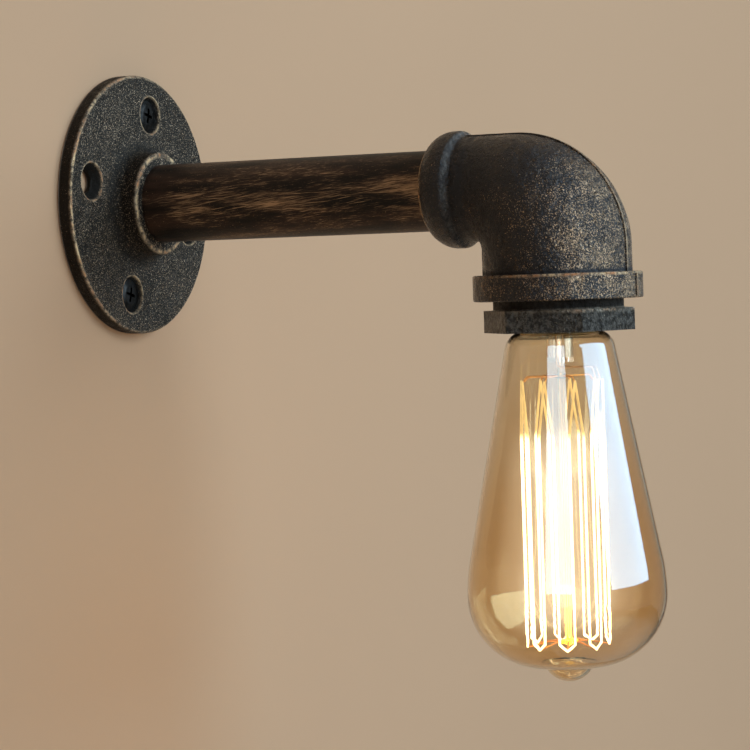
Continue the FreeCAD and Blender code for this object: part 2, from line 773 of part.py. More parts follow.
def inlet_bead(doc, s, at):
    """The half of the inlet's rounded bead that faces the wall."""
    ring = doc.addObject("Part::Torus", "bead_ring")
    bind(ring, "Radius1", s.bead_dia / 2 - s.bead_round)
    bind(ring, "Radius2", s.bead_round)
    place(ring, 0, at.bead_y, 0, OUTWARDS)
    beyond = cylinder(
        doc, "beyond_crest", s.bead_dia, s.bead_round * 2, (0, at.bead_y, 0), OUTWARDS
    )
    return cut(doc, "inlet_bead", ring, beyond)


def pipe_elbow(doc, s, at):
    """The reducing elbow: bead, bend, barrel, outlet band, bores and earth boss."""
    barrel_r, band_r = s.barrel_dia / 2, s.band_dia / 2
    bead = inlet_bead(doc, s, at)
    inlet = inlet_shoulder(doc, s, at)
    barrel_at = (0, at.bulb_y, -s.band_drop)
    barrel = cylinder(doc, "barrel", barrel_r, s.band_drop - at.seat, barrel_at)
    plain_band = cylinder(doc, "plain_band", band_r, s.band_tall, barrel_at)
    doc.recompute()
    band = doc.addObject("Part::Fillet", "outlet_band")
    band.Base = plain_band
    edge = s.band_edge.number
    band.Edges = [
        (number, edge, edge)
        for number, line in enumerate(plain_band.Shape.Edges, 1)
        if isinstance(line.Curve, Part.Circle)
    ]
    solid = bend(doc, s, at, "bend_solid", 0.0)
    seams = mould_line(doc, s, at)
    casting = fuse(doc, "casting", solid, inlet, barrel, band, bead, *seams)

    hollow = bend(doc, s, at, "bend_hollow", s.elbow_wall.number)
    face_y = at.bead_y + s.bead_face
    inlet_bore = cylinder(
        doc, "inlet_bore", at.pipe_hole, -at.bend_y, (0, at.bend_y, 0), WALLWARDS
    )
    face = cylinder(doc, "inlet_face", s.bead_dia, s.bead_dia, (0, face_y, 0), WALLWARDS)
    outlet_r = s.thread_dia / 2 + s.fit_gap
    outlet_at = (0, at.bulb_y, -at.seat)
    outlet = cylinder(doc, "outlet_bore", outlet_r, s.band_drop, outlet_at, DOWNWARDS)
    shell = cut(doc, "elbow_shell", casting, hollow, inlet_bore, face, outlet)

    boss_at = (0, at.bulb_y, at.boss_z)
    boss = cylinder(doc, "earth_boss", s.boss_dia / 2, s.boss_tall + s.elbow_wall / 2, boss_at)
    whole = fuse(doc, "elbow_with_boss", shell, boss)
    tapped = cylinder(
        doc, "earth_hole", s.earth_dia / 2 + s.fit_gap, s.earth_bite + s.end_gap, boss_at
    )
    return cut(doc, "pipe_elbow", whole, tapped)


def hex_bushing(doc, s, at):
    """The hexagon bushing that screws into the outlet and frames the bulb."""
    spin = FreeCAD.Rotation(Vector(0, 0, 1), s.hex_turn.number)
    body = body_of(doc, "hex_bushing", y=at.bulb_y, z=-at.hex_end, spin=spin)
    corner = s.hex_flats / 2 / cosine(30)
    sketch = sketch_on(body, "XY_Plane", "hexagon")
    outline(sketch, [(corner * cosine(60 * k), corner * sine(60 * k)) for k in range(6)])
    pad = body.newObject("PartDesign::Pad", "hexagon_pad")
    pad.Profile = sketch
    bind(pad, "Length", s.hex_tall)
    doc.recompute()
    thread, bore = s.thread_dia / 2, s.bushing_bore / 2
    top = at.hex_end - at.bushing_end
    middle = (thread + bore) / 2
    screwed = [
        (middle, s.hex_tall / 2),
        (thread, s.hex_tall / 2),
        (thread, top - s.thread_lead),
        (thread - s.thread_lead, top),
        (middle, top),
    ]
    turned(body, "XZ_Plane", screwed, "screwed_end")
    doc.recompute()
    inside = sketch_on(body, "XY_Plane", "bore_outline")
    circle_in(inside, bore)
    pocket = body.newObject("PartDesign::Pocket", "bore")
    pocket.Profile = inside
    pocket.Type = 1
    pocket.Midplane = True
    doc.recompute()
    foot = s.hex_tall.number
    round_edges(
        body, "neck_foot", s.neck_foot, lambda e: is_ring(e, thread.number, foot - 0.1, foot + 0.1)
    )
    doc.recompute()
    round_edges(
        body, "bore_mouth", s.hex_edge, lambda e: is_ring(e, bore.number, -0.1, 0.1), "Chamfer"
    )
    return body


def lampholder_body(doc, s, at):
    """The glazed lampholder, clamped by its collar between elbow and bushing."""
    body = body_of(doc, "lampholder_body", y=at.bulb_y)
    outer, rim = s.holder_dia / 2, s.holder_rim / 2
    inner = s.shell_major / 2 + s.shell_wall + s.fit_gap
    corners = [
        (0, -s.holder_top),
        (outer, -s.holder_top),
        (outer, -at.seat),
        (rim, -at.seat),
        (rim, -at.bushing_end),
        (outer, -at.bushing_end),
        (outer, -s.holder_end),
        (inner, -s.holder_end),
        (inner, -at.floor),
        (0, -at.floor),
    ]
    turned(body, "XZ_Plane", corners, "holder_turning")
    doc.recompute()
    sketch = sketch_on(body, "XY_Plane", "rivet_holes")
    for side in (-1, 1):
        circle_in(sketch, s.rivet_dia / 2 + s.fit_gap, (s.post_offset * side, 0))
    pocket = body.newObject("PartDesign::Pocket", "rivet_bores")
    pocket.Profile = sketch
    pocket.Type = 1
    pocket.Midplane = True
    return body


def helical_ridge(body, name, root_r, tip_r, height, s, turns):
    """A right-handed rounded thread on the body, from a bound starting height."""
    sketch = sketch_on(body, "XZ_Plane", name + "_outline")
    wide, narrow = s.thread_pitch * RIDGE_FOOT, s.thread_pitch * RIDGE_CREST
    outline(
        sketch,
        [
            (root_r, height - wide),
            (tip_r, height - narrow),
            (tip_r, height + narrow),
            (root_r, height + wide),
        ],
    )
    helix = body.newObject("PartDesign::AdditiveHelix", name)
    helix.Profile = sketch
    helix.ReferenceAxis = (sketch, ["V_Axis"])
    helix.Mode = 0
    bind(helix, "Pitch", s.thread_pitch)
    bind(helix, "Height", s.thread_pitch * turns)
    return helix


def screw_shell(doc, s, at):
    """The threaded shell that takes the bulb's cap, with its tab on the floor."""
    body = body_of(doc, "screw_shell", y=at.bulb_y)
    inner = s.shell_major / 2
    outer = inner + s.shell_wall
    low = -(s.holder_end - s.shell_end)
    corners = [(inner, low), (outer, low), (outer, -at.floor), (inner, -at.floor)]
    turned(body, "XZ_Plane", corners, "shell_turning")
    doc.recompute()
    sketch = sketch_on(body, "XY_Plane", "tab_outline")
    half = s.shell_tab / 2
    near = s.post_offset - s.rivet_head / 2
    far = s.shell_major / 2 + s.shell_wall / 2 - s.tab_inset
    outline(sketch, [(near, -half), (far, -half), (far, half), (near, half)])
    circle_in(sketch, s.rivet_dia / 2 + s.fit_gap, (s.post_offset, 0))
    bind(sketch, "AttachmentOffset.Base.z", -(at.floor + s.tongue_thick))
    tab = body.newObject("PartDesign::Pad", "tab")
    tab.Profile = sketch
    bind(tab, "Length", s.tongue_thick)
    doc.recompute()
    start = cap_thread_start(s, at) + s.thread_pitch / 2
    root_r = inner + s.thread_root
    helical_ridge(body, "shell_thread", root_r, s.shell_minor / 2, start, s, 3)
    return body


def cap_thread_start(s, at):
    """Height of the first turn of the cap's thread, above the flared rim."""
    return -at.rim + s.cap_skirt + s.thread_pitch * THREAD_LEAD_IN


def centre_contact(doc, s, at):
    """The springy strip that presses on the bulb's centre contact."""
    body = body_of(doc, "centre_contact", y=at.bulb_y)
    sketch = sketch_on(body, "XZ_Plane", "strip_outline")
    thick = s.tongue_thick
    floor, touch = -at.floor, -(at.contact - s.touch_gap)
    heel = -(s.post_offset + s.rivet_head / 2)
    bend_x = -(s.post_offset - s.rivet_head / 2) + s.tongue_thick
    corners = [
        (heel, floor - thick),
        (bend_x, floor - thick),
        (0 - s.tongue_past / 2, touch),
        (s.tongue_past / 2, touch),
        (s.tongue_past, touch + thick),
        (s.tongue_past, touch + thick * 2),
        (s.tongue_past / 2, touch + thick),
        (0 - s.tongue_past / 2, touch + thick),
        (bend_x + thick / 4, floor),
        (heel, floor),
    ]
    outline(sketch, corners)
    pad = body.newObject("PartDesign::Pad", "strip")
    pad.Profile = sketch
    bind(pad, "Length", s.tongue_wide)
    pad.Midplane = True
    doc.recompute()
    hole = sketch_on(body, "XY_Plane", "strip_hole")
    circle_in(hole, s.rivet_dia / 2 + s.fit_gap, (-s.post_offset, 0))
    pocket = body.newObject("PartDesign::Pocket", "rivet_hole")
    pocket.Profile = hole
    pocket.Type = 1
    pocket.Midplane = True
    return body


def holder_rivet(doc, s, at, label, side):
    """A rivet through the lampholder's floor that carries one side's current."""
    body = body_of(doc, label, x=s.post_offset * side, y=at.bulb_y)
    shank, head = s.rivet_dia / 2, s.rivet_head / 2
    under = -(at.floor + s.tongue_thick)
    corners = [
        (0, -s.holder_top),
        (shank, -s.holder_top),
        (shank, under),
        (head, under),
        (head * RIVET_CROWN, under - s.rivet_cap),
        (0, under - s.rivet_cap),
    ]
    turned(body, "XZ_Plane", corners, "rivet_turning")
    return body


def terminal(doc, s, at, label, side):
    """A brass terminal block with a bore for the wire and a tapped hole."""
    x, top = s.post_offset * side, -(s.holder_top - s.block_tall)
    low = (x - s.block_wide / 2, at.bulb_y - s.block_long / 2, -s.holder_top)
    block = box(doc, label + "_block", s.block_wide, s.block_long, s.block_tall, low)
    wire_z = -(s.holder_top - s.block_tall / 2)
    bore = cylinder(
        doc,
        label + "_bore",
        s.block_bore / 2,
        s.ferrule_long + s.end_gap,
        (x, at.block_y, wire_z),
        OUTWARDS,
    )
    depth = s.block_tall / 2
    tapped = cylinder(
        doc, label + "_tapping", s.clamp_dia / 2 + s.fit_gap, depth, (x, at.bulb_y, top), DOWNWARDS
    )
    return cut(doc, label, block, bore, tapped)


def slotted_screw(doc, s, name, shank, head, cap, bite, at, spin):
    """A cheese-head screw whose shank runs in the aimed direction from its seat."""
    stem = cylinder(doc, name + "_shank", shank / 2, bite, at, spin)
    back = FreeCAD.Rotation(Vector(1, 0, 0), 180).multiply(spin)
    crown = cylinder(doc, name + "_head", head / 2, cap, at, back)
    away = -1 if spin == UPRIGHT else 1
    slot_z = at[2] + (cap - s.slot_deep) * away if away > 0 else at[2] - cap
    slot = box(
        doc,
        name + "_slot",
        head,
        s.slot_wide,
        s.slot_deep,
        (at[0] - head / 2, at[1] - s.slot_wide / 2, slot_z),
    )
    return cut(doc, name, fuse(doc, name + "_blank", stem, crown), slot)


def terminal_screws(doc, s, at):
    """The two screws that clamp the wires in their blocks."""
    top = -(s.holder_top - s.block_tall)
    bite = s.block_tall / 2 - (s.ferrule_dia / 2 + s.touch_gap)
    screws = [
        slotted_screw(
            doc,
            s,
            f"clamp_screw_{number}",
            s.clamp_dia,
            s.clamp_head,
            s.clamp_cap,
            bite,
            (s.post_offset * side, at.bulb_y, top),
            DOWNWARDS,
        )
        for number, side in enumerate((-1, 1), 1)
    ]
    group = doc.addObject("Part::Compound", "terminal_screws")
    group.Links = screws
    return group


def earth_screw(doc, s, at):
    """The screw that clamps the earth tag on its boss from below."""
    seat = at.boss_z - s.tag_thick
    return slotted_screw(
        doc,
        s,
        "earth_screw",
        s.earth_dia,
        s.earth_head,
        s.earth_cap,
        s.earth_bite + s.tag_thick - s.end_gap,
        (0, at.bulb_y, seat),
        UPRIGHT,
    )


def earth_tag(doc, s, at):
    """The ring tag on the earth wire, with its strap and crimped barrel."""
    low = at.boss_z - s.tag_thick
    centre = (0, at.bulb_y, low)
    ring = cylinder(doc, "tag_ring", s.tag_dia / 2, s.tag_thick, centre)
    barrel_y = at.bulb_y + s.tag_reach
    strap_long = s.tag_reach + s.tag_barrel / 5
    strap_at = (-s.tag_tube / 2, at.bulb_y, low)
    strap = box(doc, "tag_strap", s.tag_tube, strap_long, s.tag_thick, strap_at)
    tube_at = (0, barrel_y, at.earth_z)
    tube = cylinder(doc, "tag_tube_solid", s.tag_tube / 2, s.tag_barrel, tube_at, WALLWARDS)
    hole = cylinder(doc, "tag_hole", s.earth_dia / 2 + s.fit_gap, s.tag_thick, centre)
    bore = cylinder(
        doc,
        "tag_bore",
        s.wire_dia / 2 + s.touch_gap,
        s.tag_barrel,
        (0, barrel_y + s.tag_barrel / 4, at.earth_z),
        WALLWARDS,
    )
    blank = fuse(doc, "tag_blank", ring, strap, tube)
    return cut(doc, "earth_tag", blank, hole, bore)


def side_wire_path(s, at, side):
    """Route of a live or neutral wire, down its S bend to the terminal block."""
    x = s.post_offset.number * side
    start_y = -s.wire_end.number
    end_y = at.block_y.number + s.end_gap.number
    drop = -(s.holder_top - s.block_tall / 2).number
    bend_long = s.wire_bend.number
    radius = (drop**2 + bend_long**2) / (4 * abs(drop))
    half_turn = math.asin(bend_long / 2 / radius)
    trim = radius * math.tan(half_turn / 2)
    late = end_y + s.wire_lead.number
    points = [
        Vector(x, start_y, 0),
        Vector(x, late + bend_long - trim, 0),
        Vector(x, late + trim, drop),
        Vector(x, end_y, drop),
    ]
    return route(points, [radius * BEND_SHARE] * 2)


def wire(doc, s, at, label, side):
    """One insulated wire through the pipe to its terminal block."""
    return shaped(doc, label, tube_along(side_wire_path(s, at, side), s.wire_dia.number / 2))


def earth_wire(doc, s, at):
    """The insulated earth wire, straight through the pipe to its tag."""
    end_y = at.bulb_y + s.tag_reach + s.tag_barrel / 4
    start = (0, -s.wire_end, at.earth_z)
    long = -end_y - s.wire_end
    return cylinder(doc, "earth_wire", s.wire_dia / 2, long, start, OUTWARDS)


def wire_ferrules(doc, s, at):
    """Crimped ends on the bared wires: three at the wall, two in the blocks."""
    radius, long = s.ferrule_dia / 2, s.ferrule_long
    drop = -(s.holder_top - s.block_tall / 2)
    wall_y = -s.wire_end + s.ferrule_long
    places = [
        (-s.post_offset, wall_y, 0),
        (s.post_offset, wall_y, 0),
        (0, wall_y, at.earth_z),
        (-s.post_offset, at.block_y, drop),
        (s.post_offset, at.block_y, drop),
    ]
    pieces = [
        cylinder(doc, f"ferrule_{number}", radius, long, spot, OUTWARDS)
        for number, spot in enumerate(places, 1)
    ]
    group = doc.addObject("Part::Compound", "wire_ferrules")
    group.Links = pieces
    return group


def bulb_cap(doc, s, at):
    """The bulb's threaded cap, open at the crown and flared at the rim."""
    body = body_of(doc, "bulb_cap", y=at.bulb_y)
    outer, flare, wall = s.cap_minor / 2, s.cap_flare / 2, s.cap_wall
    inner, fold = outer - wall, s.cap_wall * WALL_CORNER
    crown, rim = -at.crown, -at.rim
    skirt = rim + s.cap_skirt
    ledge = s.cap_minor / 2 - s.cap_crown
    corners = [
        (ledge, crown),
        (outer - s.cap_corner, crown),
        (outer, crown - s.cap_corner),
        (outer, skirt),
        (flare, skirt - (flare - outer)),
        (flare, rim),
        (flare - wall, rim),
        (flare - wall, skirt - (flare - outer) - fold),
        (inner, skirt - fold),
        (inner, crown - s.cap_corner - fold),
        (outer - s.cap_corner - fold, crown - wall),
        (ledge, crown - wall),
    ]
    turned(body, "XZ_Plane", corners, "cap_turning")
    doc.recompute()
    start = cap_thread_start(s, at)
    helical_ridge(body, "cap_thread", outer - s.thread_root, s.cap_major / 2, start, s, 4)
    return body


def cap_insulator(doc, s, at):
    """The black glass insulator between the cap's crown and the centre contact."""
    body = body_of(doc, "cap_insulator", y=at.bulb_y)
    top = -(at.contact + s.contact_thick)
    crown = -at.crown
    ledge = s.cap_minor / 2 - s.cap_crown - s.fit_gap
    inside = crown - s.cap_wall - s.fit_gap
    wide = s.cap_minor / 2 - s.cap_wall - s.cap_corner - s.fit_gap
    hole = s.support_dia / 2 + s.fit_gap * 2
    corners = [
        (hole, top),
        (s.contact_dia / 2 + s.insulator_lip, top),
        (ledge, crown),
        (ledge, inside),
        (wide, inside),
        (wide - s.cap_corner, inside - s.cap_crown / 2),
        (hole, inside - s.cap_crown / 2),
    ]
    turned(body, "XZ_Plane", corners, "insulator_turning")
    return body


def bulb_contact(doc, s, at):
    """The bulb's centre contact."""
    body = body_of(doc, "bulb_contact", y=at.bulb_y)
    radius, top = s.contact_dia / 2, -at.contact
    low = top - s.contact_thick
    corners = [
        (0, low),
        (radius, low),
        (radius, top - s.contact_lip),
        (radius - s.contact_slope, top),
        (0, top),
    ]
    turned(body, "XZ_Plane", corners, "contact_turning")
    return body


def cap_cement(doc, s, at):
    """The ring of cement that bonds the glass neck in the cap."""
    body = body_of(doc, "cap_cement", y=at.bulb_y)
    inner = s.neck_dia / 2 + s.touch_gap
    outer = s.cap_minor / 2 - s.cap_wall - s.touch_gap
    flare = s.cap_flare / 2 - s.cap_wall - s.touch_gap
    rim = -at.rim + s.cement_inset
    skirt = -at.rim + s.cap_skirt - s.touch_gap * 2 - s.cap_wall * WALL_CORNER
    top = -at.rim + s.neck_long - s.cement_short
    corners = [
        (inner, rim),
        (flare, rim),
        (flare, skirt - (s.cap_flare - s.cap_minor) / 2),
        (outer, skirt),
        (outer, top),
        (inner, top),
    ]
    turned(body, "XZ_Plane", corners, "cement_turning")
    return body


def glass_side(s, at, wall):
    """Edges of the bulb's outline from the neck to the tip, set in by a wall."""
    rim = -at.rim.number
    neck = s.neck_dia.number / 2 - wall
    belly, belly_z = s.belly_dia.number / 2, rim - s.belly_drop.number
    side, base = s.side_round.number, s.base_round.number
    shoulder = (s.shoulder_dia.number / 2, rim - s.shoulder_drop.number)

    def spot(across, height):
        return Vector(across, 0, height)

    def arc(centre, radius, first, last):
        angles = (first, (first + last) / 2, last)
        return Part.Arc(*[centre + spot(math.cos(a), math.sin(a)) * radius for a in angles])

    side_centre = spot(belly - side, belly_z)
    away = spot(*shoulder) - side_centre
    bearing = math.atan2(away.z, away.x)
    slope = bearing - math.acos(side / away.Length)
    normal = spot(math.cos(slope), math.sin(slope))
    shoulder_round = s.shoulder_round.number
    shoulder_centre = spot(*shoulder) - normal * shoulder_round
    neck_round = s.neck_round.number + wall
    reach = shoulder_round - wall + neck_round
    neck_centre_x = neck + neck_round
    rise = math.sqrt(reach**2 - (neck_centre_x - shoulder_centre.x) ** 2)
    neck_centre = spot(neck_centre_x, shoulder_centre.z + rise)
    meet = math.atan2(rise, neck_centre_x - shoulder_centre.x)

    base_centre = spot(belly - base, belly_z)
    dip = s.nipple_tall.number
    nipple = s.nipple_dia.number / 2
    dome = (nipple**2 + dip**2) / (2 * dip)
    tip = belly_z - base - s.nipple_step.number - dip
    dome_centre = spot(0, tip + dome)
    dome_angle = -math.acos((nipple - wall) / (dome - wall))

    start = spot(neck, rim + s.neck_long.number)
    curves = [
        Part.LineSegment(start, spot(neck, neck_centre.z)),
        arc(neck_centre, neck_round, math.pi, math.pi + meet),
        arc(shoulder_centre, shoulder_round - wall, meet, slope),
        arc(side_centre, side - wall, slope, 0.0),
        arc(base_centre, base - wall, 0.0, -math.pi / 2),
        arc(dome_centre, dome - wall, dome_angle, -math.pi / 2),
    ]
    edges = []
    for curve in curves:
        if edges and (edges[-1].EndPoint - curve.StartPoint).Length > 0.001:
            edges.append(Part.LineSegment(edges[-1].EndPoint, curve.StartPoint))
        edges.append(curve)
    return edges


def bulb_glass(doc, s, at):
    """The blown envelope, open at the neck where the stem seals it."""
    outside = glass_side(s, at, 0.0)
    inside = glass_side(s, at, s.glass_wall.number)
    edges = [curve.toShape() for curve in outside + inside]
    edges.append(Part.makeLine(outside[0].StartPoint, inside[0].StartPoint))
    edges.append(Part.makeLine(outside[-1].EndPoint, inside[-1].EndPoint))
    loop = Part.Wire(Part.__sortEdges__(edges))
    shape = Part.Face(loop).revolve(Vector(), Vector(0, 0, 1), 360)
    return shaped(doc, "bulb_glass", shape, at.bulb_y.number)


def bulb_stem(doc, s, at):
    """The flared glass tube that seals the neck and carries the leads."""
    body = body_of(doc, "bulb_stem", y=at.bulb_y)
    outer = s.stem_dia / 2
    inner = outer - s.stem_wall
    top, low = -at.rim + s.neck_long, -at.rim - s.stem_drop
    mouth = s.neck_dia / 2 - s.glass_wall - s.touch_gap
    rod = s.rod_dia / 2 + s.touch_gap
    corners = [
        (rod, low),
        (outer, low),
        (outer, top - s.stem_dia),
        (mouth, top - s.glass_wall),
        (mouth, top),
        (mouth - s.stem_wall, top),
        (inner, top - s.stem_dia),
        (inner, low + s.stem_wall * 2),
        (rod, low + s.stem_wall * 2),
    ]
    turned(body, "XZ_Plane", corners, "stem_turning")
    doc.recompute()
    sketch = sketch_on(body, "XY_Plane", "lead_holes")
    for side in (-1, 1):
        circle_in(sketch, s.support_dia / 2 + s.touch_gap, (s.lead_side * side, 0))
    bind(sketch, "AttachmentOffset.Base.z", low)
    pocket = body.newObject("PartDesign::Pocket", "lead_bores")
    pocket.Profile = sketch
    bind(pocket, "Length", s.stem_wall * 4)
    pocket.Midplane = True
    return body


def bulb_rod(doc, s, at):
    """The glass rod down the middle, with the two buttons that hold the supports."""
    body = body_of(doc, "bulb_rod", y=at.bulb_y)
    rod, button, half = s.rod_dia / 2, s.button_dia / 2, s.button_tall / 2
    top = -at.rim - s.stem_drop + s.stem_wall * 2
    upper, lower = -at.rim - at.upper_drop, -at.rim - at.lower_drop
    corners = [
        (0, top),
        (rod, top),
        (rod, upper + half),
        (button, upper + half / 2),
        (button, upper - half / 2),
        (rod, upper - half),
        (rod, lower + half),
        (button, lower + half / 2),
        (button, lower - half / 2),
        (rod, lower - half),
        (0, lower - half * 2),
    ]
    turned(body, "XZ_Plane", corners, "rod_turning")
    return body


def cage_spot(s, at, number, inset, drop):
    """Point on the ray of one of the filament's corners, inside the cage."""
    angle = s.strand_turn.number + number * 360 / (at.strands + 1)
    radius = s.cage_dia.number / 2 - inset
    height = -(at.rim + drop).number
    return Vector(radius * cosine(angle), radius * sine(angle), height)


def cage_corner(s, at, number, inset=0.0):
    """A turn of the filament: even ones are above, odd ones below."""
    return cage_spot(s, at, number, inset, at.cage_base if number % 2 else at.cage_top)


def hook_end(s, at, number):
    """Where a wire's middle stops, just inside one of the filament's turns."""
    inset = s.filament_dia / 2 + s.support_dia / 2 + s.touch_gap
    return cage_corner(s, at, number, inset.number)


def strand(s, at, number):
    """Ends of the upright strand between two turns, in the filament's order."""
    upper = cage_spot(s, at, number + 0.5, 0.0, at.cage_top + s.loop_spread)
    lower = cage_spot(s, at, number + 0.5, 0.0, at.cage_base - s.foot_spread)
    return [lower, upper] if number % 2 else [upper, lower]


def filament(doc, s, at):
    """The strand that runs up and down the cage, from lead to lead."""
    radius = s.filament_dia.number / 2
    corners = [cage_corner(s, at, 0)]
    for number in range(at.strands):
        corners += [*strand(s, at, number), cage_corner(s, at, number + 1)]
    pieces = [Part.makeSphere(radius, corner) for corner in corners]
    for start, end in zip(corners, corners[1:]):
        run = end - start
        pieces.append(Part.makeCylinder(radius, run.Length, start, run))
    shape = pieces[0].multiFuse(pieces[1:]).removeSplitter()
    return shaped(doc, "filament", shape, at.bulb_y.number)


def support(s, at, number, drop, bend_inset):
    """One hooked wire: level out from a button, then along to a filament's corner."""
    button_inset = (s.cage_dia / 2 - s.button_dia / 2 - s.touch_gap).number
    start = cage_spot(s, at, number, button_inset, drop)
    bend_at = cage_spot(s, at, number, bend_inset.number, drop)
    path = route([start, bend_at, hook_end(s, at, number)], [s.hook_round.number])
    return tube_along(path, s.support_dia.number / 2)


def supports(doc, s, at, label, numbers, drop, bend_inset):
    """The ring of hooked wires at one button."""
    shapes = [support(s, at, number, drop, bend_inset) for number in numbers]
    return shaped(doc, label, Part.makeCompound(shapes), at.bulb_y.number)


def lead_wires(doc, s, at):
    """The two leads: centre contact and cap shell down to the filament's ends."""
    wire_r = s.support_dia.number / 2
    rim = -at.rim.number
    side = s.lead_side.number
    part_z = rim + s.neck_long.number + s.lead_clear.number
    slant = s.lead_slant.number
    out_z = rim - at.lead_fall.number
    inset, bend_r, cap_r = s.hook_inset.number, s.hook_round.number, s.lead_round.number
    above = part_z + slant * PART_SHARE
    below = above - slant
    level = above - slant / 4
    shell = s.cap_minor.number / 2 - s.cap_wall.number - s.touch_gap.number
    top = -(at.contact + s.contact_thick).number - s.touch_gap.number
    centre = route(
        [
            Vector(0, 0, top),
            Vector(0, 0, above),
            Vector(-side, 0, below),
            Vector(-side, 0, out_z),
            cage_spot(s, at, at.strands, inset, at.lead_fall),
            hook_end(s, at, at.strands),
        ],
        [cap_r, cap_r, bend_r, bend_r],
    )
    outer = route(
        [
            Vector(shell, 0, level),
            Vector(side, 0, level),
            Vector(side, 0, out_z),
            cage_spot(s, at, 0, inset, at.lead_fall),
            hook_end(s, at, 0),
        ],
        [cap_r, bend_r, bend_r],
    )
    shapes = [tube_along(path, wire_r) for path in (centre, outer)]
    return shaped(doc, "lead_wires", Part.makeCompound(shapes), at.bulb_y.number)


def build(doc):
    """Make every sub-part and return them in order."""
    s = Sheet(doc)
    at = Layout(s)
    upper, lower = range(2, at.strands, 2), range(1, at.strands, 2)
    return [
        wall_flange(doc, s, at),
        wall_screws(doc, s, at),
        arm_pipe(doc, s, at),
        pipe_elbow(doc, s, at),
        hex_bushing(doc, s, at),
        lampholder_body(doc, s, at),
        screw_shell(doc, s, at),
        centre_contact(doc, s, at),
        holder_rivet(doc, s, at, "contact_rivet", -1),
        holder_rivet(doc, s, at, "shell_rivet", 1),
        terminal(doc, s, at, "live_terminal", -1),
        terminal(doc, s, at, "neutral_terminal", 1),
        terminal_screws(doc, s, at),
        wire(doc, s, at, "live_wire", -1),
        wire(doc, s, at, "neutral_wire", 1),
        earth_wire(doc, s, at),
        wire_ferrules(doc, s, at),
        earth_tag(doc, s, at),
        earth_screw(doc, s, at),
        bulb_contact(doc, s, at),
        cap_insulator(doc, s, at),
        bulb_cap(doc, s, at),
        cap_cement(doc, s, at),
        bulb_glass(doc, s, at),
        bulb_stem(doc, s, at),
        bulb_rod(doc, s, at),
        lead_wires(doc, s, at),
        supports(doc, s, at, "upper_supports", upper, at.upper_drop, s.hook_inset),
        supports(doc, s, at, "lower_supports", lower, at.lower_drop, s.foot_inset),
        filament(doc, s, at),
    ]


def check(doc, parts):
    """Stop on any failed object or empty sub-part."""
    doc.recompute()
    for item in doc.Objects:
        if {"Invalid", "Error"} & set(item.State):
            raise ValueError(f"{item.Name} did not compute")
    for part in parts:
        if part.Shape.isNull() or not part.Shape.isValid() or not part.Shape.Solids:
            raise ValueError(f"{part.Label} has no sound shape")
        print(part.Label, len(part.Shape.Solids), round(part.Shape.Volume, 2))


def main():
    """Build the wall light and write one file for each sub-part."""
    doc = FreeCAD.newDocument("pipe_wall_light")
    parts = build(doc)
    check(doc, parts)
    os.makedirs("parts", exist_ok=True)
    for part in parts:
        part.Shape.exportStep(f"parts/{part.Label}.step")


main()
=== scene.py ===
"""Dresses a wall light made of iron pipe fittings, hung on a plain pale wall.

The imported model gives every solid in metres: the wall is the plane y = 0, the pipe
runs out of it along -Y, and the bulb hangs down. Each class at the end finishes one
sub-assembly on that frame; the last one sets up the stage, the lamps and the camera.
"""
from __future__ import annotations

import logging
import math
from dataclasses import dataclass, field
from enum import Enum

import bpy
from mathutils import Matrix, Vector

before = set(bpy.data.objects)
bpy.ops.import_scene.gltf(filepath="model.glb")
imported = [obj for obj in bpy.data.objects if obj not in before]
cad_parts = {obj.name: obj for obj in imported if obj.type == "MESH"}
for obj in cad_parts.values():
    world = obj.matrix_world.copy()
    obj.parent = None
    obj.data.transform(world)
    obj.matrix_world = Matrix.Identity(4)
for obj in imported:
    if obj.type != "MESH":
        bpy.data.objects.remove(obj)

Triple = tuple[float, float, float]
Colour = Triple
Socket = bpy.types.NodeSocket
Value = float | Socket
Tint = Colour | Socket
LOG = logging.getLogger("wall_light")
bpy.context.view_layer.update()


def linear(red: int, green: int, blue: int) -> Colour:
    """Turn a colour as seen on a screen into the shader's linear values.

    Args:
        red: Red, 0 to 255.
        green: Green, 0 to 255.
        blue: Blue, 0 to 255.

    Returns:
        The three linear values.
    """

    def channel(value: int) -> float:
        """One channel of the colour."""
        share = value / 255
        return share / 12.92 if share <= 0.04045 else ((share + 0.055) / 1.055) ** 2.4

    return channel(red), channel(green), channel(blue)


def node(name: str) -> bpy.types.Object:
    """The frame's object for one solid of the model."""
    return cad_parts[name]


class Maths(Enum):
    """Arithmetic that a bench can do."""

    PLUS = "ADD"
    MINUS = "SUBTRACT"
    TIMES = "MULTIPLY"
    LARGER = "MAXIMUM"
    SMALLER = "MINIMUM"
    SIZE = "ABSOLUTE"
    POWER = "POWER"
    ROOT = "SQRT"
    BELOW = "LESS_THAN"


@dataclass(frozen=True)
class Cloud:
    """A noise: size of one cloud in metres, number of finer layers and their strength."""

    size: float
    layers: float = 3.0
    strength: float = 0.55


@dataclass(frozen=True)
class Step:
    """A smooth step from a low to a high value, and what it gives before and after."""

    low: float
    high: float
    before: float = 0.0
    after: float = 1.0


@dataclass(frozen=True)
class Line:
    """A soft line: where it lies and how far off it has faded out, in metres."""

    centre: float
    fade: float


SPREAD = Step(0.3, 0.7)


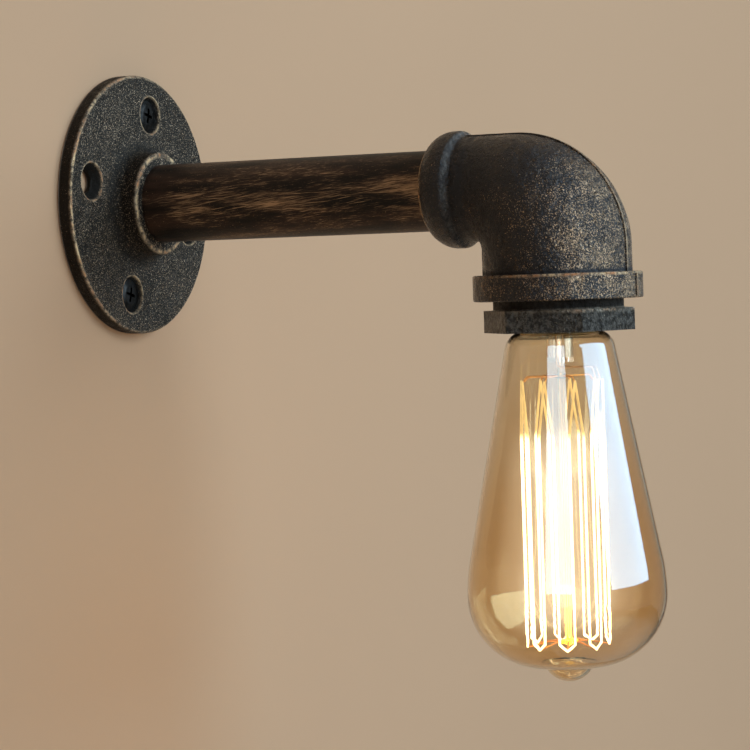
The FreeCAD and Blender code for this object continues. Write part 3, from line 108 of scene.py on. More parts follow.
class Bench:
    """Adds shader nodes to one material and wires them up."""

    def __init__(self, name: str) -> None:
        """Start a material that has an output and no surface yet.

        Args:
            name: Name of the material.
        """
        self.material = bpy.data.materials.new(name)
        self.material.use_nodes = True
        self.tree = self.material.node_tree
        self.tree.nodes.clear()
        self.output = self.tree.nodes.new("ShaderNodeOutputMaterial")

    def add(
        self, kind: str, settings: dict[str, str] | None = None, **inputs: Value | Tint
    ) -> bpy.types.Node:
        """Add one node.

        Args:
            kind: Node type, without the leading "ShaderNode".
            settings: Values for the node's own properties.
            inputs: Values or sockets for its inputs, spaces written as underscores.

        Returns:
            The new node.
        """
        made = self.tree.nodes.new("ShaderNode" + kind)
        for key, value in (settings or {}).items():
            setattr(made, key, value)
        for key, value in inputs.items():
            self.feed(made.inputs[key.replace("_", " ")], value)
        return made

    def feed(self, socket: Socket, value: Value | Tint) -> None:
        """Set or link one input.

        Args:
            socket: The input.
            value: Another node's socket, a number, or a colour or vector.
        """
        if isinstance(value, bpy.types.NodeSocket):
            self.tree.links.new(value, socket)
        elif isinstance(value, tuple) and socket.type == "RGBA" and len(value) == 3:
            socket.default_value = (*value, 1.0)
        else:
            socket.default_value = value

    def surface(self, shader: Socket) -> None:
        """Use a shader as the material's surface."""
        self.tree.links.new(shader, self.output.inputs["Surface"])

    def principled(self, **inputs: Value | Tint) -> bpy.types.Node:
        """Add the surface shader and link it to the output.

        Args:
            inputs: Its inputs, spaces written as underscores.

        Returns:
            The shader node.
        """
        shader = self.add("BsdfPrincipled", None, **inputs)
        self.surface(shader.outputs[0])
        return shader

    def place(self, stretch: Triple = (1.0, 1.0, 1.0), turn: Triple = (0.0, 0.0, 0.0)) -> Socket:
        """Coordinates on the object, in metres, turned and then stretched.

        Args:
            stretch: Scale along each axis.
            turn: Turn about each axis, in degrees.

        Returns:
            A vector socket.
        """
        coordinates = self.add("TexCoord").outputs["Object"]
        angles = tuple(math.radians(angle) for angle in turn)
        turned = self.add("Mapping", None, Vector=coordinates, Rotation=angles).outputs["Vector"]
        return self.add("Mapping", None, Vector=turned, Scale=stretch).outputs["Vector"]

    def axes(self, where: Socket) -> tuple[Socket, Socket, Socket]:
        """The three coordinates of a place, each by itself."""
        parts = self.add("SeparateXYZ", None, Vector=where).outputs
        return parts[0], parts[1], parts[2]

    def noise(self, where: Socket, cloud: Cloud) -> Socket:
        """Cloudy variation.

        Args:
            where: Coordinates.
            cloud: Size, layers and strength.

        Returns:
            A value socket around one half.
        """
        numbers = {"Scale": 1 / cloud.size, "Detail": cloud.layers, "Roughness": cloud.strength}
        return self.add("TexNoise", None, Vector=where, **numbers).outputs[0]

    def calc(self, operation: Maths, first: Value, second: Value = 0.0) -> Socket:
        """One step of arithmetic.

        Args:
            operation: What to do.
            first: First value or socket.
            second: Second value or socket, where the operation has one.

        Returns:
            The result's socket.
        """
        made = self.add("Math", {"operation": operation.value})
        self.feed(made.inputs[0], first)
        self.feed(made.inputs[1], second)
        return made.outputs[0]

    def plus(self, first: Value, second: Value) -> Socket:
        """The sum of two values."""
        return self.calc(Maths.PLUS, first, second)

    def minus(self, first: Value, second: Value) -> Socket:
        """The first value less the second."""
        return self.calc(Maths.MINUS, first, second)

    def times(self, first: Value, second: Value) -> Socket:
        """The product of two values."""
        return self.calc(Maths.TIMES, first, second)

    def larger(self, first: Value, second: Value) -> Socket:
        """The larger of two values."""
        return self.calc(Maths.LARGER, first, second)

    def radius(self, across: Value, up: Value) -> Socket:
        """Distance from an axis, of two coordinates."""
        squares = self.plus(self.calc(Maths.POWER, across, 2), self.calc(Maths.POWER, up, 2))
        return self.calc(Maths.ROOT, squares)

    def step(self, value: Value, step: Step) -> Socket:
        """A smooth step.

        Args:
            value: The value or socket to read.
            step: Where the step lies and what it gives.

        Returns:
            The result's socket.
        """
        made = self.add("MapRange", {"interpolation_type": "SMOOTHSTEP"}, Value=value)
        made.inputs["From Min"].default_value = step.low
        made.inputs["From Max"].default_value = step.high
        made.inputs["To Min"].default_value = step.before
        made.inputs["To Max"].default_value = step.after
        return made.outputs[0]

    def spread(self, value: Value, low: float, high: float) -> Socket:
        """A noise spread between two results."""
        return self.step(value, Step(SPREAD.low, SPREAD.high, low, high))

    def near(self, value: Value, line: Line) -> Socket:
        """One where a value is on a line, and nothing where the line has faded out."""
        away = self.calc(Maths.SIZE, self.minus(value, line.centre))
        return self.step(away, Step(0.0, line.fade, 1.0, 0.0))

    def blend(self, share: Value, first: Tint, second: Tint) -> Socket:
        """A mix of two colours.

        Args:
            share: Share of the second colour.
            first: First colour.
            second: Second colour.

        Returns:
            A colour socket.
        """
        made = self.add("Mix", {"data_type": "RGBA"})
        for place, value in ((0, share), (6, first), (7, second)):
            self.feed(made.inputs[place], value)
        return made.outputs[2]

    def mix(self, share: Value, first: Socket, second: Socket) -> None:
        """Use a mix of two shaders as the surface.

        Args:
            share: Share of the second shader.
            first: First shader.
            second: Second shader.
        """
        mixed = self.add("MixShader")
        for place, value in enumerate((share, first, second)):
            self.feed(mixed.inputs[place], value)
        self.surface(mixed.outputs[0])

    def bump(self, height: Value, depth: float, strength: float) -> Socket:
        """Small relief.

        Args:
            height: Height, 0 to 1.
            depth: Height of a full step, in metres.
            strength: Share of the effect.

        Returns:
            A normal socket.
        """
        return self.add("Bump", None, Height=height, Distance=depth, Strength=strength).outputs[0]


class Finish:
    """A finish that can make its material and put it on pieces."""

    def material(self) -> bpy.types.Material:
        """Make the material."""
        raise NotImplementedError

    def dress(self, *pieces: bpy.types.Object) -> None:
        """Put the finish on pieces.

        Args:
            pieces: Objects that take the finish.
        """
        material = self.material()
        for piece in pieces:
            if piece.material_slots:
                for holder in piece.material_slots:
                    holder.material = material
            else:
                piece.data.materials.append(material)
            LOG.info("%s dressed in %s", piece.name, material.name)


class Wear(Enum):
    """Which casting's edges let the bronze show through the black."""

    FLANGE = "rim, hub and screw holes"
    ELBOW = "bead, band and mould line"
    HEXAGON = "upper edge of the hexagon"


@dataclass(frozen=True)
class Masks:
    """Shares between nothing and one: worn edges that also carry painted highlights, painted shade
    in the hollows, cover of flecks, and a painted highlight on the bead's ridge.
    """

    edges: Value
    hollows: Value
    region: Value
    ridge: Value = 0.0


@dataclass(frozen=True)
class FlangeMarks:
    """Where the flange wears and where shade and highlights are painted, in metres from its axis or
    the wall.
    """

    hole_turn: float = -14.0
    hole_reach: float = 0.0319
    hole_lip: Line = Line(0.00655, 0.0006)
    hole_lip_share: float = 0.75
    hole_inside: Step = Step(0.0056, 0.0064, 1.0, 0.0)
    rim: Line = Line(0.0440, 0.0008)
    rim_highlight_side: Step = Step(-0.036, 0.012, 1.0, 0.2)
    front: Step = Step(-0.0048, -0.0036, 1.0, 0.0)
    hub_top: Step = Step(-0.0136, -0.0122, 1.0, 0.0)
    hub_mouth: Line = Line(0.0167, 0.0014)
    hub_foot: Line = Line(0.0192, 0.0042)
    hub_foot_share: float = 0.8
    outer_edge: Step = Step(0.0442, 0.0446, 0.0, 0.7)

    def masks(self, bench: Bench) -> Masks:
        """Rim, hub mouth and the lips of the four holes, worn and partly painted as highlights;
        painted shade round the hub's foot, in the holes and on the outer edge.

        Args:
            bench: The material's bench.

        Returns:
            The masks.
        """
        x, y, z = bench.axes(bench.place(turn=(0.0, self.hole_turn, 0.0)))
        across, up = bench.calc(Maths.SIZE, x), bench.calc(Maths.SIZE, z)
        radius = bench.radius(across, up)
        far = bench.minus(bench.larger(across, up), self.hole_reach)
        from_hole = bench.radius(far, bench.calc(Maths.SMALLER, across, up))
        lip = bench.times(bench.near(from_hole, self.hole_lip), self.hole_lip_share)
        # the rim's worn line is kept mostly to the left side, where it is a painted highlight
        rim = bench.times(bench.near(radius, self.rim), bench.step(x, self.rim_highlight_side))
        front = bench.step(y, self.front)
        hub = bench.times(bench.step(y, self.hub_top), bench.near(radius, self.hub_mouth))
        flat = bench.times(bench.larger(lip, rim), front)
        foot = bench.times(bench.near(radius, self.hub_foot), self.hub_foot_share)
        # painted shade inside the holes, round the hub's foot and on the flange's outer edge
        hollows = bench.larger(bench.step(from_hole, self.hole_inside), foot)
        hollows = bench.larger(hollows, bench.step(radius, self.outer_edge))
        return Masks(bench.larger(flat, hub), hollows, front)


@dataclass(frozen=True)
class ElbowMarks:
    """Where the elbow wears and where shade and highlights are painted, in metres from the wall or
    the axes.
    """

    outlet_reach: float = 0.1615
    band_side: Step = Step(0.0264, 0.0273)
    lit_room_side: Step = Step(-0.178, -0.142, 1.0, 0.25)
    band_rim: Line = Line(-0.0287, 0.0009)
    bead_face: Line = Line(-0.1203, 0.0012)
    bead_share: float = 0.8
    mould_line: Line = Line(0.0, 0.0009)
    mould_share: float = 0.7
    above_band: Line = Line(-0.0278, 0.0013)
    above_side: Step = Step(0.0258, 0.0268, 1.0, 0.0)
    collar: Line = Line(-0.1350, 0.0018)
    collar_share: float = 0.8
    outward: Step = Step(-0.184, -0.146, 1.0, 0.05)
    band_height: Step = Step(-0.0279, -0.0272, 1.0, 0.0)
    band_across: Step = Step(-0.026, 0.0, 0.35, 1.0)
    bead_ridge: Line = Line(-0.1302, 0.0014)

    def masks(self, bench: Bench) -> Masks:
        """Rim of the band, face of the bead and the mould line, worn and partly painted as
        highlights; painted shade above the band and beside the bead.

        Args:
            bench: The material's bench.

        Returns:
            The masks.
        """
        x, y, z = bench.axes(bench.place())
        radius = bench.radius(x, bench.plus(y, self.outlet_reach))
        around = bench.step(radius, self.band_side)
        rims = bench.times(around, bench.near(z, self.band_rim))
        # the band's worn rims are strongest towards the lit room side, partly a painted highlight
        rims = bench.times(rims, bench.step(y, self.lit_room_side))
        bead = bench.times(bench.near(y, self.bead_face), self.bead_share)
        seam = bench.times(bench.near(x, self.mould_line), self.mould_share)
        # painted shade: a dark line above the band, and a dark groove beside the bead
        above = bench.times(bench.step(radius, self.above_side), bench.near(z, self.above_band))
        collar = bench.times(bench.near(y, self.collar), self.collar_share)
        band = bench.times(around, bench.step(z, self.band_height))
        band = bench.times(band, bench.step(x, self.band_across))
        return Masks(
            edges=bench.larger(bench.larger(rims, seam), bead),
            hollows=bench.larger(above, collar),
            # flecks cover more towards the lit room side and less on the band's left: partly real
            # dry-brush wear, partly painted highlight and shade
            region=bench.larger(bench.step(y, self.outward), band),
            # painted highlight along the bead's ridge
            ridge=bench.near(y, self.bead_ridge),
        )


@dataclass(frozen=True)
class HexagonMarks:
    """Where the bushing wears and where shade and a highlight are painted, in metres below the
    pipe's axis.
    """

    lit_room_side: Step = Step(-0.178, -0.166, 1.0, 0.3)
    top_edge: Line = Line(-0.0402, 0.0012)
    neck: Step = Step(-0.0396, -0.0392)
    sides: Step = Step(-0.0400, -0.0396, 0.4, 0.0)

    def masks(self, bench: Bench) -> Masks:
        """Upper edge of the hexagon, worn and partly painted as a highlight most towards the room;
        painted shade in the neck.

        Args:
            bench: The material's bench.

        Returns:
            The masks.
        """
        _, y, z = bench.axes(bench.place())
        # the worn upper edge is strongest towards the lit room side, partly a painted highlight
        edges = bench.times(bench.near(z, self.top_edge), bench.step(y, self.lit_room_side))
        # painted shade: the neck above the hexagon is darkened
        return Masks(edges, bench.step(z, self.neck), bench.step(z, self.sides))


MARKS = {Wear.FLANGE: FlangeMarks(), Wear.ELBOW: ElbowMarks(), Wear.HEXAGON: HexagonMarks()}


@dataclass(frozen=True)
class BareBack:
    """Unpainted iron on the face that lies on the wall."""

    depth: Step = Step(-0.0005, -0.0001)
    stains: Step = Step(0.35, 0.65)
    light: Colour = linear(104, 96, 88)
    dark: Colour = linear(72, 62, 54)


@dataclass(frozen=True)
class BronzeBrush:
    """How the dry brush leaves its bronze, and how rough the casting under it is."""

    patches: Cloud = Cloud(0.010, 4.0)
    patch_low: float = 0.36
    patch_high: float = 0.64
    gate: float = 0.62
    reach: float = 0.2
    fine_layers: float = 3.0
    fine_strength: float = 0.6
    coarse_times: float = 2.8
    coarse_layers: float = 4.0
    coarse_strength: float = 0.7
    small: Step = Step(0.0, 0.09)
    large: Step = Step(0.06, 0.16)
    large_share: float = 0.4
    brushed: float = 0.85
    breaks: Cloud = Cloud(0.0022, 5.0, 0.7)
    break_step: Step = Step(0.4, 0.58, 0.15, 1.0)
    stain_layers: float = 4.0
    stain_strength: float = 0.7
    stain_step: Step = Step(0.4, 0.62)
    # near-black painted shade for the hollows, and how strongly it darkens them
    painted_shade: Colour = (0.003, 0.003, 0.003)
    painted_shade_share: float = 0.8
    bright_times: float = 1.7
    bright_step: Step = Step(0.4, 0.62)
    copper_step: Step = Step(0.46, 0.58)
    painted_glint_share: float = 0.75
    sheen_clouds: Cloud = Cloud(0.0035, 3.0)
    sheen_less: float = 0.1
    sheen_more: float = 0.14
    hollow_rough: float = 0.3
    ridge_smooth: float = 0.2
    cast: Cloud = Cloud(0.0013, 4.0, 0.65)
    cast_share: float = 0.5
    swell: Cloud = Cloud(0.0048, 2.0)
    swell_share: float = 0.8
    fleck_share: float = 0.34
    relief: float = 0.9
    metal: float = 0.8
    lip_metal: float = 0.4
    coat_rough: float = 0.2


@dataclass(frozen=True)
class AntiquedIron(Finish):
    """Cast iron, painted black and dry-brushed with bronze on what stands proud."""

    name: str
    wear: Wear
    ground: Colour
    haze: Colour
    rub: Colour
    cover: float
    shine: float
    coat: float
    fleck: float = 0.0005
    gloss: float = 0.38
    lumps: float = 0.0011
    clouds: float = 0.010
    spread: float = 0.06
    lip: Colour = linear(228, 190, 142)
    copper: Colour = linear(196, 128, 78)
    # pale grey painted highlight for the bead's ridge
    painted_glint: Colour = linear(116, 110, 104)
    sheen_tint: Colour = (1.0, 0.84, 0.68)
    brush: BronzeBrush = BronzeBrush()
    back: BareBack = BareBack()

    def paint(self, bench: Bench, where: Socket, hollows: Value) -> Socket:
        """The stained black paint, darkened in the hollows as painted shade.

        Args:
            bench: The material's bench.
            where: Coordinates.
            hollows: Share of painted shade.

        Returns:
            A colour socket.
        """
        brush = self.brush
        stains = bench.noise(where, Cloud(self.clouds, brush.stain_layers, brush.stain_strength))
        tones = bench.blend(bench.step(stains, brush.stain_step), self.ground, self.haze)
        # painted shade: the hollows are darkened towards near black
        tones = bench.blend(bench.times(hollows, brush.painted_shade_share), tones, brush.painted_shade)
        if self.wear is Wear.FLANGE:
            back, depth = self.back, bench.axes(where)[1]
            bare = bench.blend(bench.step(stains, back.stains), back.light, back.dark)
            tones = bench.blend(bench.step(depth, back.depth), tones, bare)
        return tones

    def material(self) -> bpy.types.Material:
        """Make the material.

        Returns:
            The finished material.
        """
        bench, brush = Bench(self.name), self.brush
        where = bench.place()
        masks = MARKS[self.wear].masks(bench)
        patches = bench.noise(where, brush.patches)
        fine = bench.noise(where, Cloud(self.fleck, brush.fine_layers, brush.fine_strength))
        coarse_size = self.fleck * brush.coarse_times
        coarse = bench.noise(where, Cloud(coarse_size, brush.coarse_layers, brush.coarse_strength))
        reach = bench.times(bench.times(masks.region, self.cover), brush.reach)
        gates = Step(brush.patch_low, brush.patch_high, brush.gate + self.spread, brush.gate)
        gate = bench.minus(bench.step(patches, gates), reach)
        small = bench.step(bench.minus(fine, gate), brush.small)
        large = bench.step(bench.minus(coarse, gate), brush.large)
        flecks = bench.larger(small, bench.times(large, brush.large_share))
        flecks = bench.times(flecks, bench.minus(1.0, masks.hollows))
        breaks = bench.step(bench.noise(where, brush.breaks), brush.break_step)
        # worn edges: partly real bronze wear, partly painted highlight
        rubbed_and_lit = bench.times(masks.edges, breaks)
        ridge = bench.times(masks.ridge, breaks)
        worn = bench.larger(bench.times(flecks, brush.brushed), rubbed_and_lit)

        bright = tuple(min(1.0, channel * brush.bright_times) for channel in self.rub)
        bronze = bench.blend(bench.step(coarse, brush.bright_step), self.rub, bright)
        lips = bench.blend(bench.step(patches, brush.copper_step), self.lip, self.copper)
        metals = bench.blend(rubbed_and_lit, bronze, lips)
        colour = bench.blend(worn, self.paint(bench, where, masks.hollows), metals)
        # painted highlight: the bead's ridge is mixed towards pale grey
        colour = bench.blend(bench.times(ridge, brush.painted_glint_share), colour, self.painted_glint)

        sheen = bench.noise(where, brush.sheen_clouds)
        rough = bench.spread(sheen, self.gloss - brush.sheen_less, self.gloss + brush.sheen_more)
        rough = bench.plus(rough, bench.times(masks.hollows, brush.hollow_rough))
        rough = bench.minus(rough, bench.times(ridge, brush.ridge_smooth))
        cast = bench.times(bench.noise(where, brush.cast), brush.cast_share)
        swell = bench.times(bench.noise(where, brush.swell), brush.swell_share)
        relief = bench.plus(bench.plus(cast, swell), bench.times(fine, brush.fleck_share))
        normal = bench.bump(relief, self.lumps, brush.relief)

        shader = bench.principled(
            Base_Color=colour, Roughness=rough, Normal=normal, Coat_Normal=normal
        )
        metal = bench.times(bench.larger(worn, ridge), brush.metal)
        # worn edges lose some metal so they read lighter, partly a painted highlight
        metal = bench.minus(metal, bench.times(rubbed_and_lit, brush.lip_metal))
        bench.feed(shader.inputs["Metallic"], metal)
        shader.inputs["Specular IOR Level"].default_value = self.shine
        shader.inputs["Specular Tint"].default_value = (*self.sheen_tint, 1.0)
        shader.inputs["Coat Weight"].default_value = self.coat
        shader.inputs["Coat Roughness"].default_value = brush.coat_rough
        return bench.material


@dataclass(frozen=True)
class StreakedPipe(Finish):
    """Steel pipe, painted black-brown and rubbed lengthwise with bronze."""

    name: str = "pipe_black_brown"
    ground: Colour = linear(8, 5, 4)
    haze: Colour = linear(56, 38, 28)
    rub: Colour = linear(186, 151, 115)
    slanted_stretch: Triple = (1.0, 0.02, 1.0)
    slanted_turn: Triple = (8.0, 0.0, 0.0)
    slanted_marks: Cloud = Cloud(0.00028, 3.0, 0.65)
    level_stretch: Triple = (1.0, 0.025, 1.0)
    level_turn: Triple = (2.0, 0.0, 0.0)
    level_marks: Cloud = Cloud(0.00024, 3.0, 0.65)
    band_stretch: Triple = (1.0, 0.16, 1.0)
    bands: Cloud = Cloud(0.006, 3.0)
    band_gate: Step = Step(0.35, 0.66, 0.665, 0.53)
    band_tone: Step = Step(0.35, 0.65)
    brushed_side: Line = Line(-0.0008, 0.010)
    brushed_more: float = 0.10
    hub_less: Step = Step(-0.030, -0.019, 0.0, 0.12)
    mark_step: Step = Step(0.0, 0.2)
    mark_share: float = 0.9
    specks: Cloud = Cloud(0.0007, 3.0, 0.7)
    speck_step: Step = Step(0.64, 0.74, 0.0, 0.5)
    smooth: float = 0.34
    dull: float = 0.52
    grit: Cloud = Cloud(0.0009)
    grit_share: float = 0.4
    mark_relief: float = 0.6
    depth: float = 0.00012
    relief: float = 0.8
    metal: float = 0.65
    shine: float = 0.22

    def worn(self, bench: Bench, streaks: Socket, bands: Socket, plain: Socket) -> Socket:
        """Where the bronze shows: dense in bands, most on the side, least by the hub.

        Args:
            bench: The material's bench.
            streaks: Noise of the fine marks.
            bands: Noise of the wide bands.
            plain: Coordinates.

        Returns:
            A value socket.
        """
        _, y, z = bench.axes(plain)
        gate = bench.plus(bench.step(bands, self.band_gate), bench.step(y, self.hub_less))
        side = bench.times(bench.near(z, self.brushed_side), self.brushed_more)
        marks = bench.step(bench.minus(streaks, bench.minus(gate, side)), self.mark_step)
        specks = bench.step(bench.noise(plain, self.specks), self.speck_step)
        return bench.larger(bench.times(marks, self.mark_share), specks)

    def material(self) -> bpy.types.Material:
        """Make the material.

        Returns:
            The finished material.
        """
        bench = Bench(self.name)
        plain = bench.place()
        slanted = bench.place(self.slanted_stretch, self.slanted_turn)
        level = bench.place(self.level_stretch, self.level_turn)
        streaks = bench.larger(
            bench.noise(slanted, self.slanted_marks), bench.noise(level, self.level_marks)
        )
        bands = bench.noise(bench.place(self.band_stretch), self.bands)
        worn = self.worn(bench, streaks, bands, plain)
        tones = bench.blend(bench.step(bands, self.band_tone), self.ground, self.haze)
        grit = bench.times(bench.noise(plain, self.grit), self.grit_share)
        relief = bench.plus(bench.times(streaks, self.mark_relief), grit)
        shader = bench.principled(
            Base_Color=bench.blend(worn, tones, self.rub),
            Roughness=bench.spread(streaks, self.smooth, self.dull),
            Normal=bench.bump(relief, self.depth, self.relief),
            Metallic=bench.times(worn, self.metal),
        )
        shader.inputs["Specular IOR Level"].default_value = self.shine
        return bench.material


@dataclass(frozen=True)
class TurnedMetal(Finish):
    """Plain turned, plated or pressed metal with handling marks."""

    name: str
    colour: Colour
    tarnish: Colour
    gloss: float = 0.3
    metal: float = 1.0
    grain: float = 0.0006
    patch_times: float = 6
    patch_layers: float = 4.0
    patch_step: Step = Step(0.42, 0.68)
    mark_stretch: Triple = (1.0, 1.0, 0.15)
    smoother: float = 0.08
    rougher: float = 0.12
    depth: float = 0.00004
    relief: float = 0.6

    def material(self) -> bpy.types.Material:
        """Make the material.

        Returns:
            The finished material.
        """
        bench = Bench(self.name)
        clouds = bench.noise(bench.place(), Cloud(self.grain * self.patch_times, self.patch_layers))
        marks = bench.noise(bench.place(self.mark_stretch), Cloud(self.grain))
        bench.principled(
            Base_Color=bench.blend(bench.step(clouds, self.patch_step), self.colour, self.tarnish),
            Roughness=bench.spread(marks, self.gloss - self.smoother, self.gloss + self.rougher),
            Metallic=self.metal,
            Normal=bench.bump(marks, self.depth, self.relief),
        )
        return bench.material


@dataclass(frozen=True)
class FiredClay(Finish):
    """Glazed or bare ceramic, black glass or cement."""

    name: str
    colour: Colour
    shade: Colour
    gloss: float = 0.2
    grain: float = 0.0012
    cloud_times: float = 5
    cloud_layers: float = 4.0
    cloud_step: Step = Step(0.4, 0.7)
    smoother: float = 0.05
    rougher: float = 0.08
    depth: float = 0.00003
    relief: float = 0.7

    def material(self) -> bpy.types.Material:
        """Make the material.

        Returns:
            The finished material.
        """
        bench = Bench(self.name)
        where = bench.place()
        clouds = bench.noise(where, Cloud(self.grain * self.cloud_times, self.cloud_layers))
        fine = bench.noise(where, Cloud(self.grain))
        bench.principled(
            Base_Color=bench.blend(bench.step(clouds, self.cloud_step), self.colour, self.shade),
            Roughness=bench.spread(fine, self.gloss - self.smoother, self.gloss + self.rougher),
            Normal=bench.bump(fine, self.depth, self.relief),
        )
        return bench.material


@dataclass(frozen=True)
class Sleeving(Finish):
    """Plastic insulation of a wire, slightly scuffed along its length."""

    name: str
    colour: Colour
    scuff: Colour
    stretch: Triple = (1.0, 0.1, 1.0)
    lines: Cloud = Cloud(0.0007, 4.0)
    scuff_step: Step = Step(0.5, 0.72)
    smooth: float = 0.38
    dull: float = 0.55
    depth: float = 0.00003
    relief: float = 0.5

    def material(self) -> bpy.types.Material:
        """Make the material.

        Returns:
            The finished material.
        """
        bench = Bench(self.name)
        lines = bench.noise(bench.place(self.stretch), self.lines)
        bench.principled(
            Base_Color=bench.blend(bench.step(lines, self.scuff_step), self.colour, self.scuff),
            Roughness=bench.spread(lines, self.smooth, self.dull),
            Normal=bench.bump(lines, self.depth, self.relief),
        )
        return bench.material


@dataclass(frozen=True)
class BlownGlass(Finish):
    """Clear or tinted glass that lets the lamp's own light through.

    The rod carries a painted glow at its lower end, where the filament lights it.
    The bulb carries a painted glow of the filament's light in front of it and at its outline.
    """

    name: str
    tint: Colour
    deep: Colour
    index: float = 1.5
    lacquer: float = 0.0
    sheen_tint: Colour = (1.0, 1.0, 1.0)
    outline_blend: float = 0.3
    outline_deep: Step = Step(0.55, 1.0, 0.0, 0.15)
    wave_stretch: Triple = (1.0, 1.0, 0.5)
    waves: Cloud = Cloud(0.02, 2.0)
    wave_deep: Step = Step(0.4, 0.7, 0.0, 0.1)
    low_deep: Step = Step(-0.12, -0.06, 0.5, 0.0)
    dull: float = 0.012
    depth: float = 0.0002
    relief: float = 0.25
    painted_glow: float = 0.0
    glow_colour: Colour = linear(255, 200, 40)
    glow_low: float = -0.125
    glow_tall: float = 0.012
    # painted glow: a haze of the filament's light on the bulb's middle, and a faint glow at its
    # outline
    haze: float = 0.0
    haze_colour: Colour = linear(255, 246, 228)
    haze_foot: Step = Step(-0.154, -0.14)
    haze_top: Step = Step(-0.092, -0.072, 1.0, 0.0)
    haze_middle: Step = Step(0.015, 0.1, 1.0, 0.0)
    haze_outline: Step = Step(0.72, 1.0, 0.0, 0.1)

    def light(self, bench: Bench, glass: bpy.types.Node, facing: Socket, height: Socket) -> None:
        """Paint a glow on the glass where the filament lights it from inside.

        Args:
            bench: The material's bench.
            glass: The glass shader.
            facing: How much the surface turns away.
            height: Height on the object.
        """
        # painted glow on the rod's lower end, where the filament lights it
        if self.painted_glow:
            ends = Step(self.glow_low, self.glow_low + self.glow_tall, self.painted_glow, 0.0)
            glass.inputs["Emission Color"].default_value = (*self.glow_colour, 1.0)
            bench.feed(glass.inputs["Emission Strength"], bench.step(height, ends))
        # painted glow: the filament's light as a haze in front of it, and a faint glow along the
        # outline
        if self.haze:
            level = bench.step(height, self.haze_foot)
            level = bench.times(level, bench.step(height, self.haze_top))
            middle = bench.times(level, bench.step(facing, self.haze_middle))
            middle = bench.times(middle, self.haze)
            outline = bench.step(facing, self.haze_outline)
            glass.inputs["Emission Color"].default_value = (*self.haze_colour, 1.0)
            bench.feed(glass.inputs["Emission Strength"], bench.plus(middle, outline))

    def material(self) -> bpy.types.Material:
        """Make the material.

        Returns:
            The finished material.
        """
        bench = Bench(self.name)
        waves = bench.noise(bench.place(self.wave_stretch), self.waves)
        facing = bench.add("LayerWeight", None, Blend=self.outline_blend).outputs["Facing"]
        height = bench.axes(bench.place())[2]
        share = bench.plus(bench.step(facing, self.outline_deep), bench.step(waves, self.wave_deep))
        share = bench.plus(share, bench.step(height, self.low_deep))
        colour = bench.blend(share, self.tint, self.deep)
        rough = bench.spread(waves, 0.0, self.dull)
        normal = bench.bump(waves, self.depth, self.relief)
        glass = bench.add("BsdfPrincipled", None, Base_Color=colour, Roughness=rough, Normal=normal)
        glass.inputs["Transmission Weight"].default_value = 1.0
        glass.inputs["IOR"].default_value = self.index
        glass.inputs["Coat Weight"].default_value = self.lacquer
        glass.inputs["Specular Tint"].default_value = (*self.sheen_tint, 1.0)
        self.light(bench, glass, facing, height)
        clear = bench.add("BsdfTransparent", None, Color=colour)
        shadow = bench.add("LightPath").outputs["Is Shadow Ray"]
        bench.mix(shadow, glass.outputs[0], clear.outputs[0])
        return bench.material


@dataclass(frozen=True)
class HotStrand(Finish):
    """Filament that is cool at its upper hooks and white-hot below."""

    name: str = "filament_hot"
    metal: Colour = linear(150, 110, 60)
    dull: float = 0.5
    cool: Colour = linear(255, 228, 160)
    hot: Colour = linear(255, 240, 204)
    heat: Step = Step(-0.0825, -0.0790, 1.0, 0.0)
    cool_power: float = 0.9
    hot_power: float = 4.0
    coil_stretch: Triple = (1.0, 1.0, 0.3)
    coil: Cloud = Cloud(0.002, 3.0)
    coil_least: float = 0.75
    coil_most: float = 1.15

    def material(self) -> bpy.types.Material:
        """Make the material.

        Returns:
            The finished material.
        """
        bench = Bench(self.name)
        heat = bench.step(bench.axes(bench.place())[2], self.heat)
        flicker = bench.noise(bench.place(self.coil_stretch), self.coil)
        coil = bench.spread(flicker, self.coil_least, self.coil_most)
        power = bench.times(bench.plus(bench.times(heat, self.hot_power), self.cool_power), coil)
        shader = bench.principled(Base_Color=self.metal, Roughness=self.dull, Metallic=1.0)
        bench.feed(shader.inputs["Emission Color"], bench.blend(heat, self.cool, self.hot))
        bench.feed(shader.inputs["Emission Strength"], power)
        return bench.material


@dataclass(frozen=True)
class PlainWall(Finish):
    """Matt pale wall or floor; a wall is clear from behind and where the flange touches it."""

    name: str
    colour: Colour
    one_sided: bool = False
    clouds: Cloud = Cloud(0.35, 2.0)
    darker: float = 0.97
    dull: float = 0.9
    shine: float = 0.2
    touching: float = 0.001

    def material(self) -> bpy.types.Material:
        """Make the material.

        Returns:
            The finished material.
        """
        bench = Bench(self.name)
        tone = bench.spread(bench.noise(bench.place(), self.clouds), 0.0, 1.0)
        colour = bench.blend(tone, self.colour, tuple(part * self.darker for part in self.colour))
        shader = bench.principled(Base_Color=colour, Roughness=self.dull)
        shader.inputs["Specular IOR Level"].default_value = self.shine
        if self.one_sided:
            back = bench.add("NewGeometry").outputs["Backfacing"]
            length = bench.add("LightPath").outputs["Ray Length"]
            touched = bench.calc(Maths.BELOW, length, self.touching)
            clear = bench.add("BsdfTransparent").outputs[0]
            bench.mix(bench.larger(back, touched), shader.outputs[0], clear)
        return bench.material


@dataclass
class WallSide:
    """Flange, screws and pipe, which stay on the wall."""

    iron: AntiquedIron = AntiquedIron(
        "flange_antiqued",
        Wear.FLANGE,
        ground=linear(11, 8, 6),
        haze=linear(22, 17, 13),
        rub=linear(186, 160, 132),
        cover=0.36,
        shine=0.26,
        coat=0.04,
        fleck=0.00046,
        spread=0.02,
    )
    pipe: StreakedPipe = StreakedPipe()
    screws: TurnedMetal = TurnedMetal(
        "screws_black", linear(46, 44, 42), linear(22, 21, 20), gloss=0.4
    )

    def build(self) -> None:
        """Dress the three nodes."""
        self.iron.dress(node("wall_flange"))
        self.pipe.dress(node("arm_pipe"))
        self.screws.dress(node("wall_screws"))


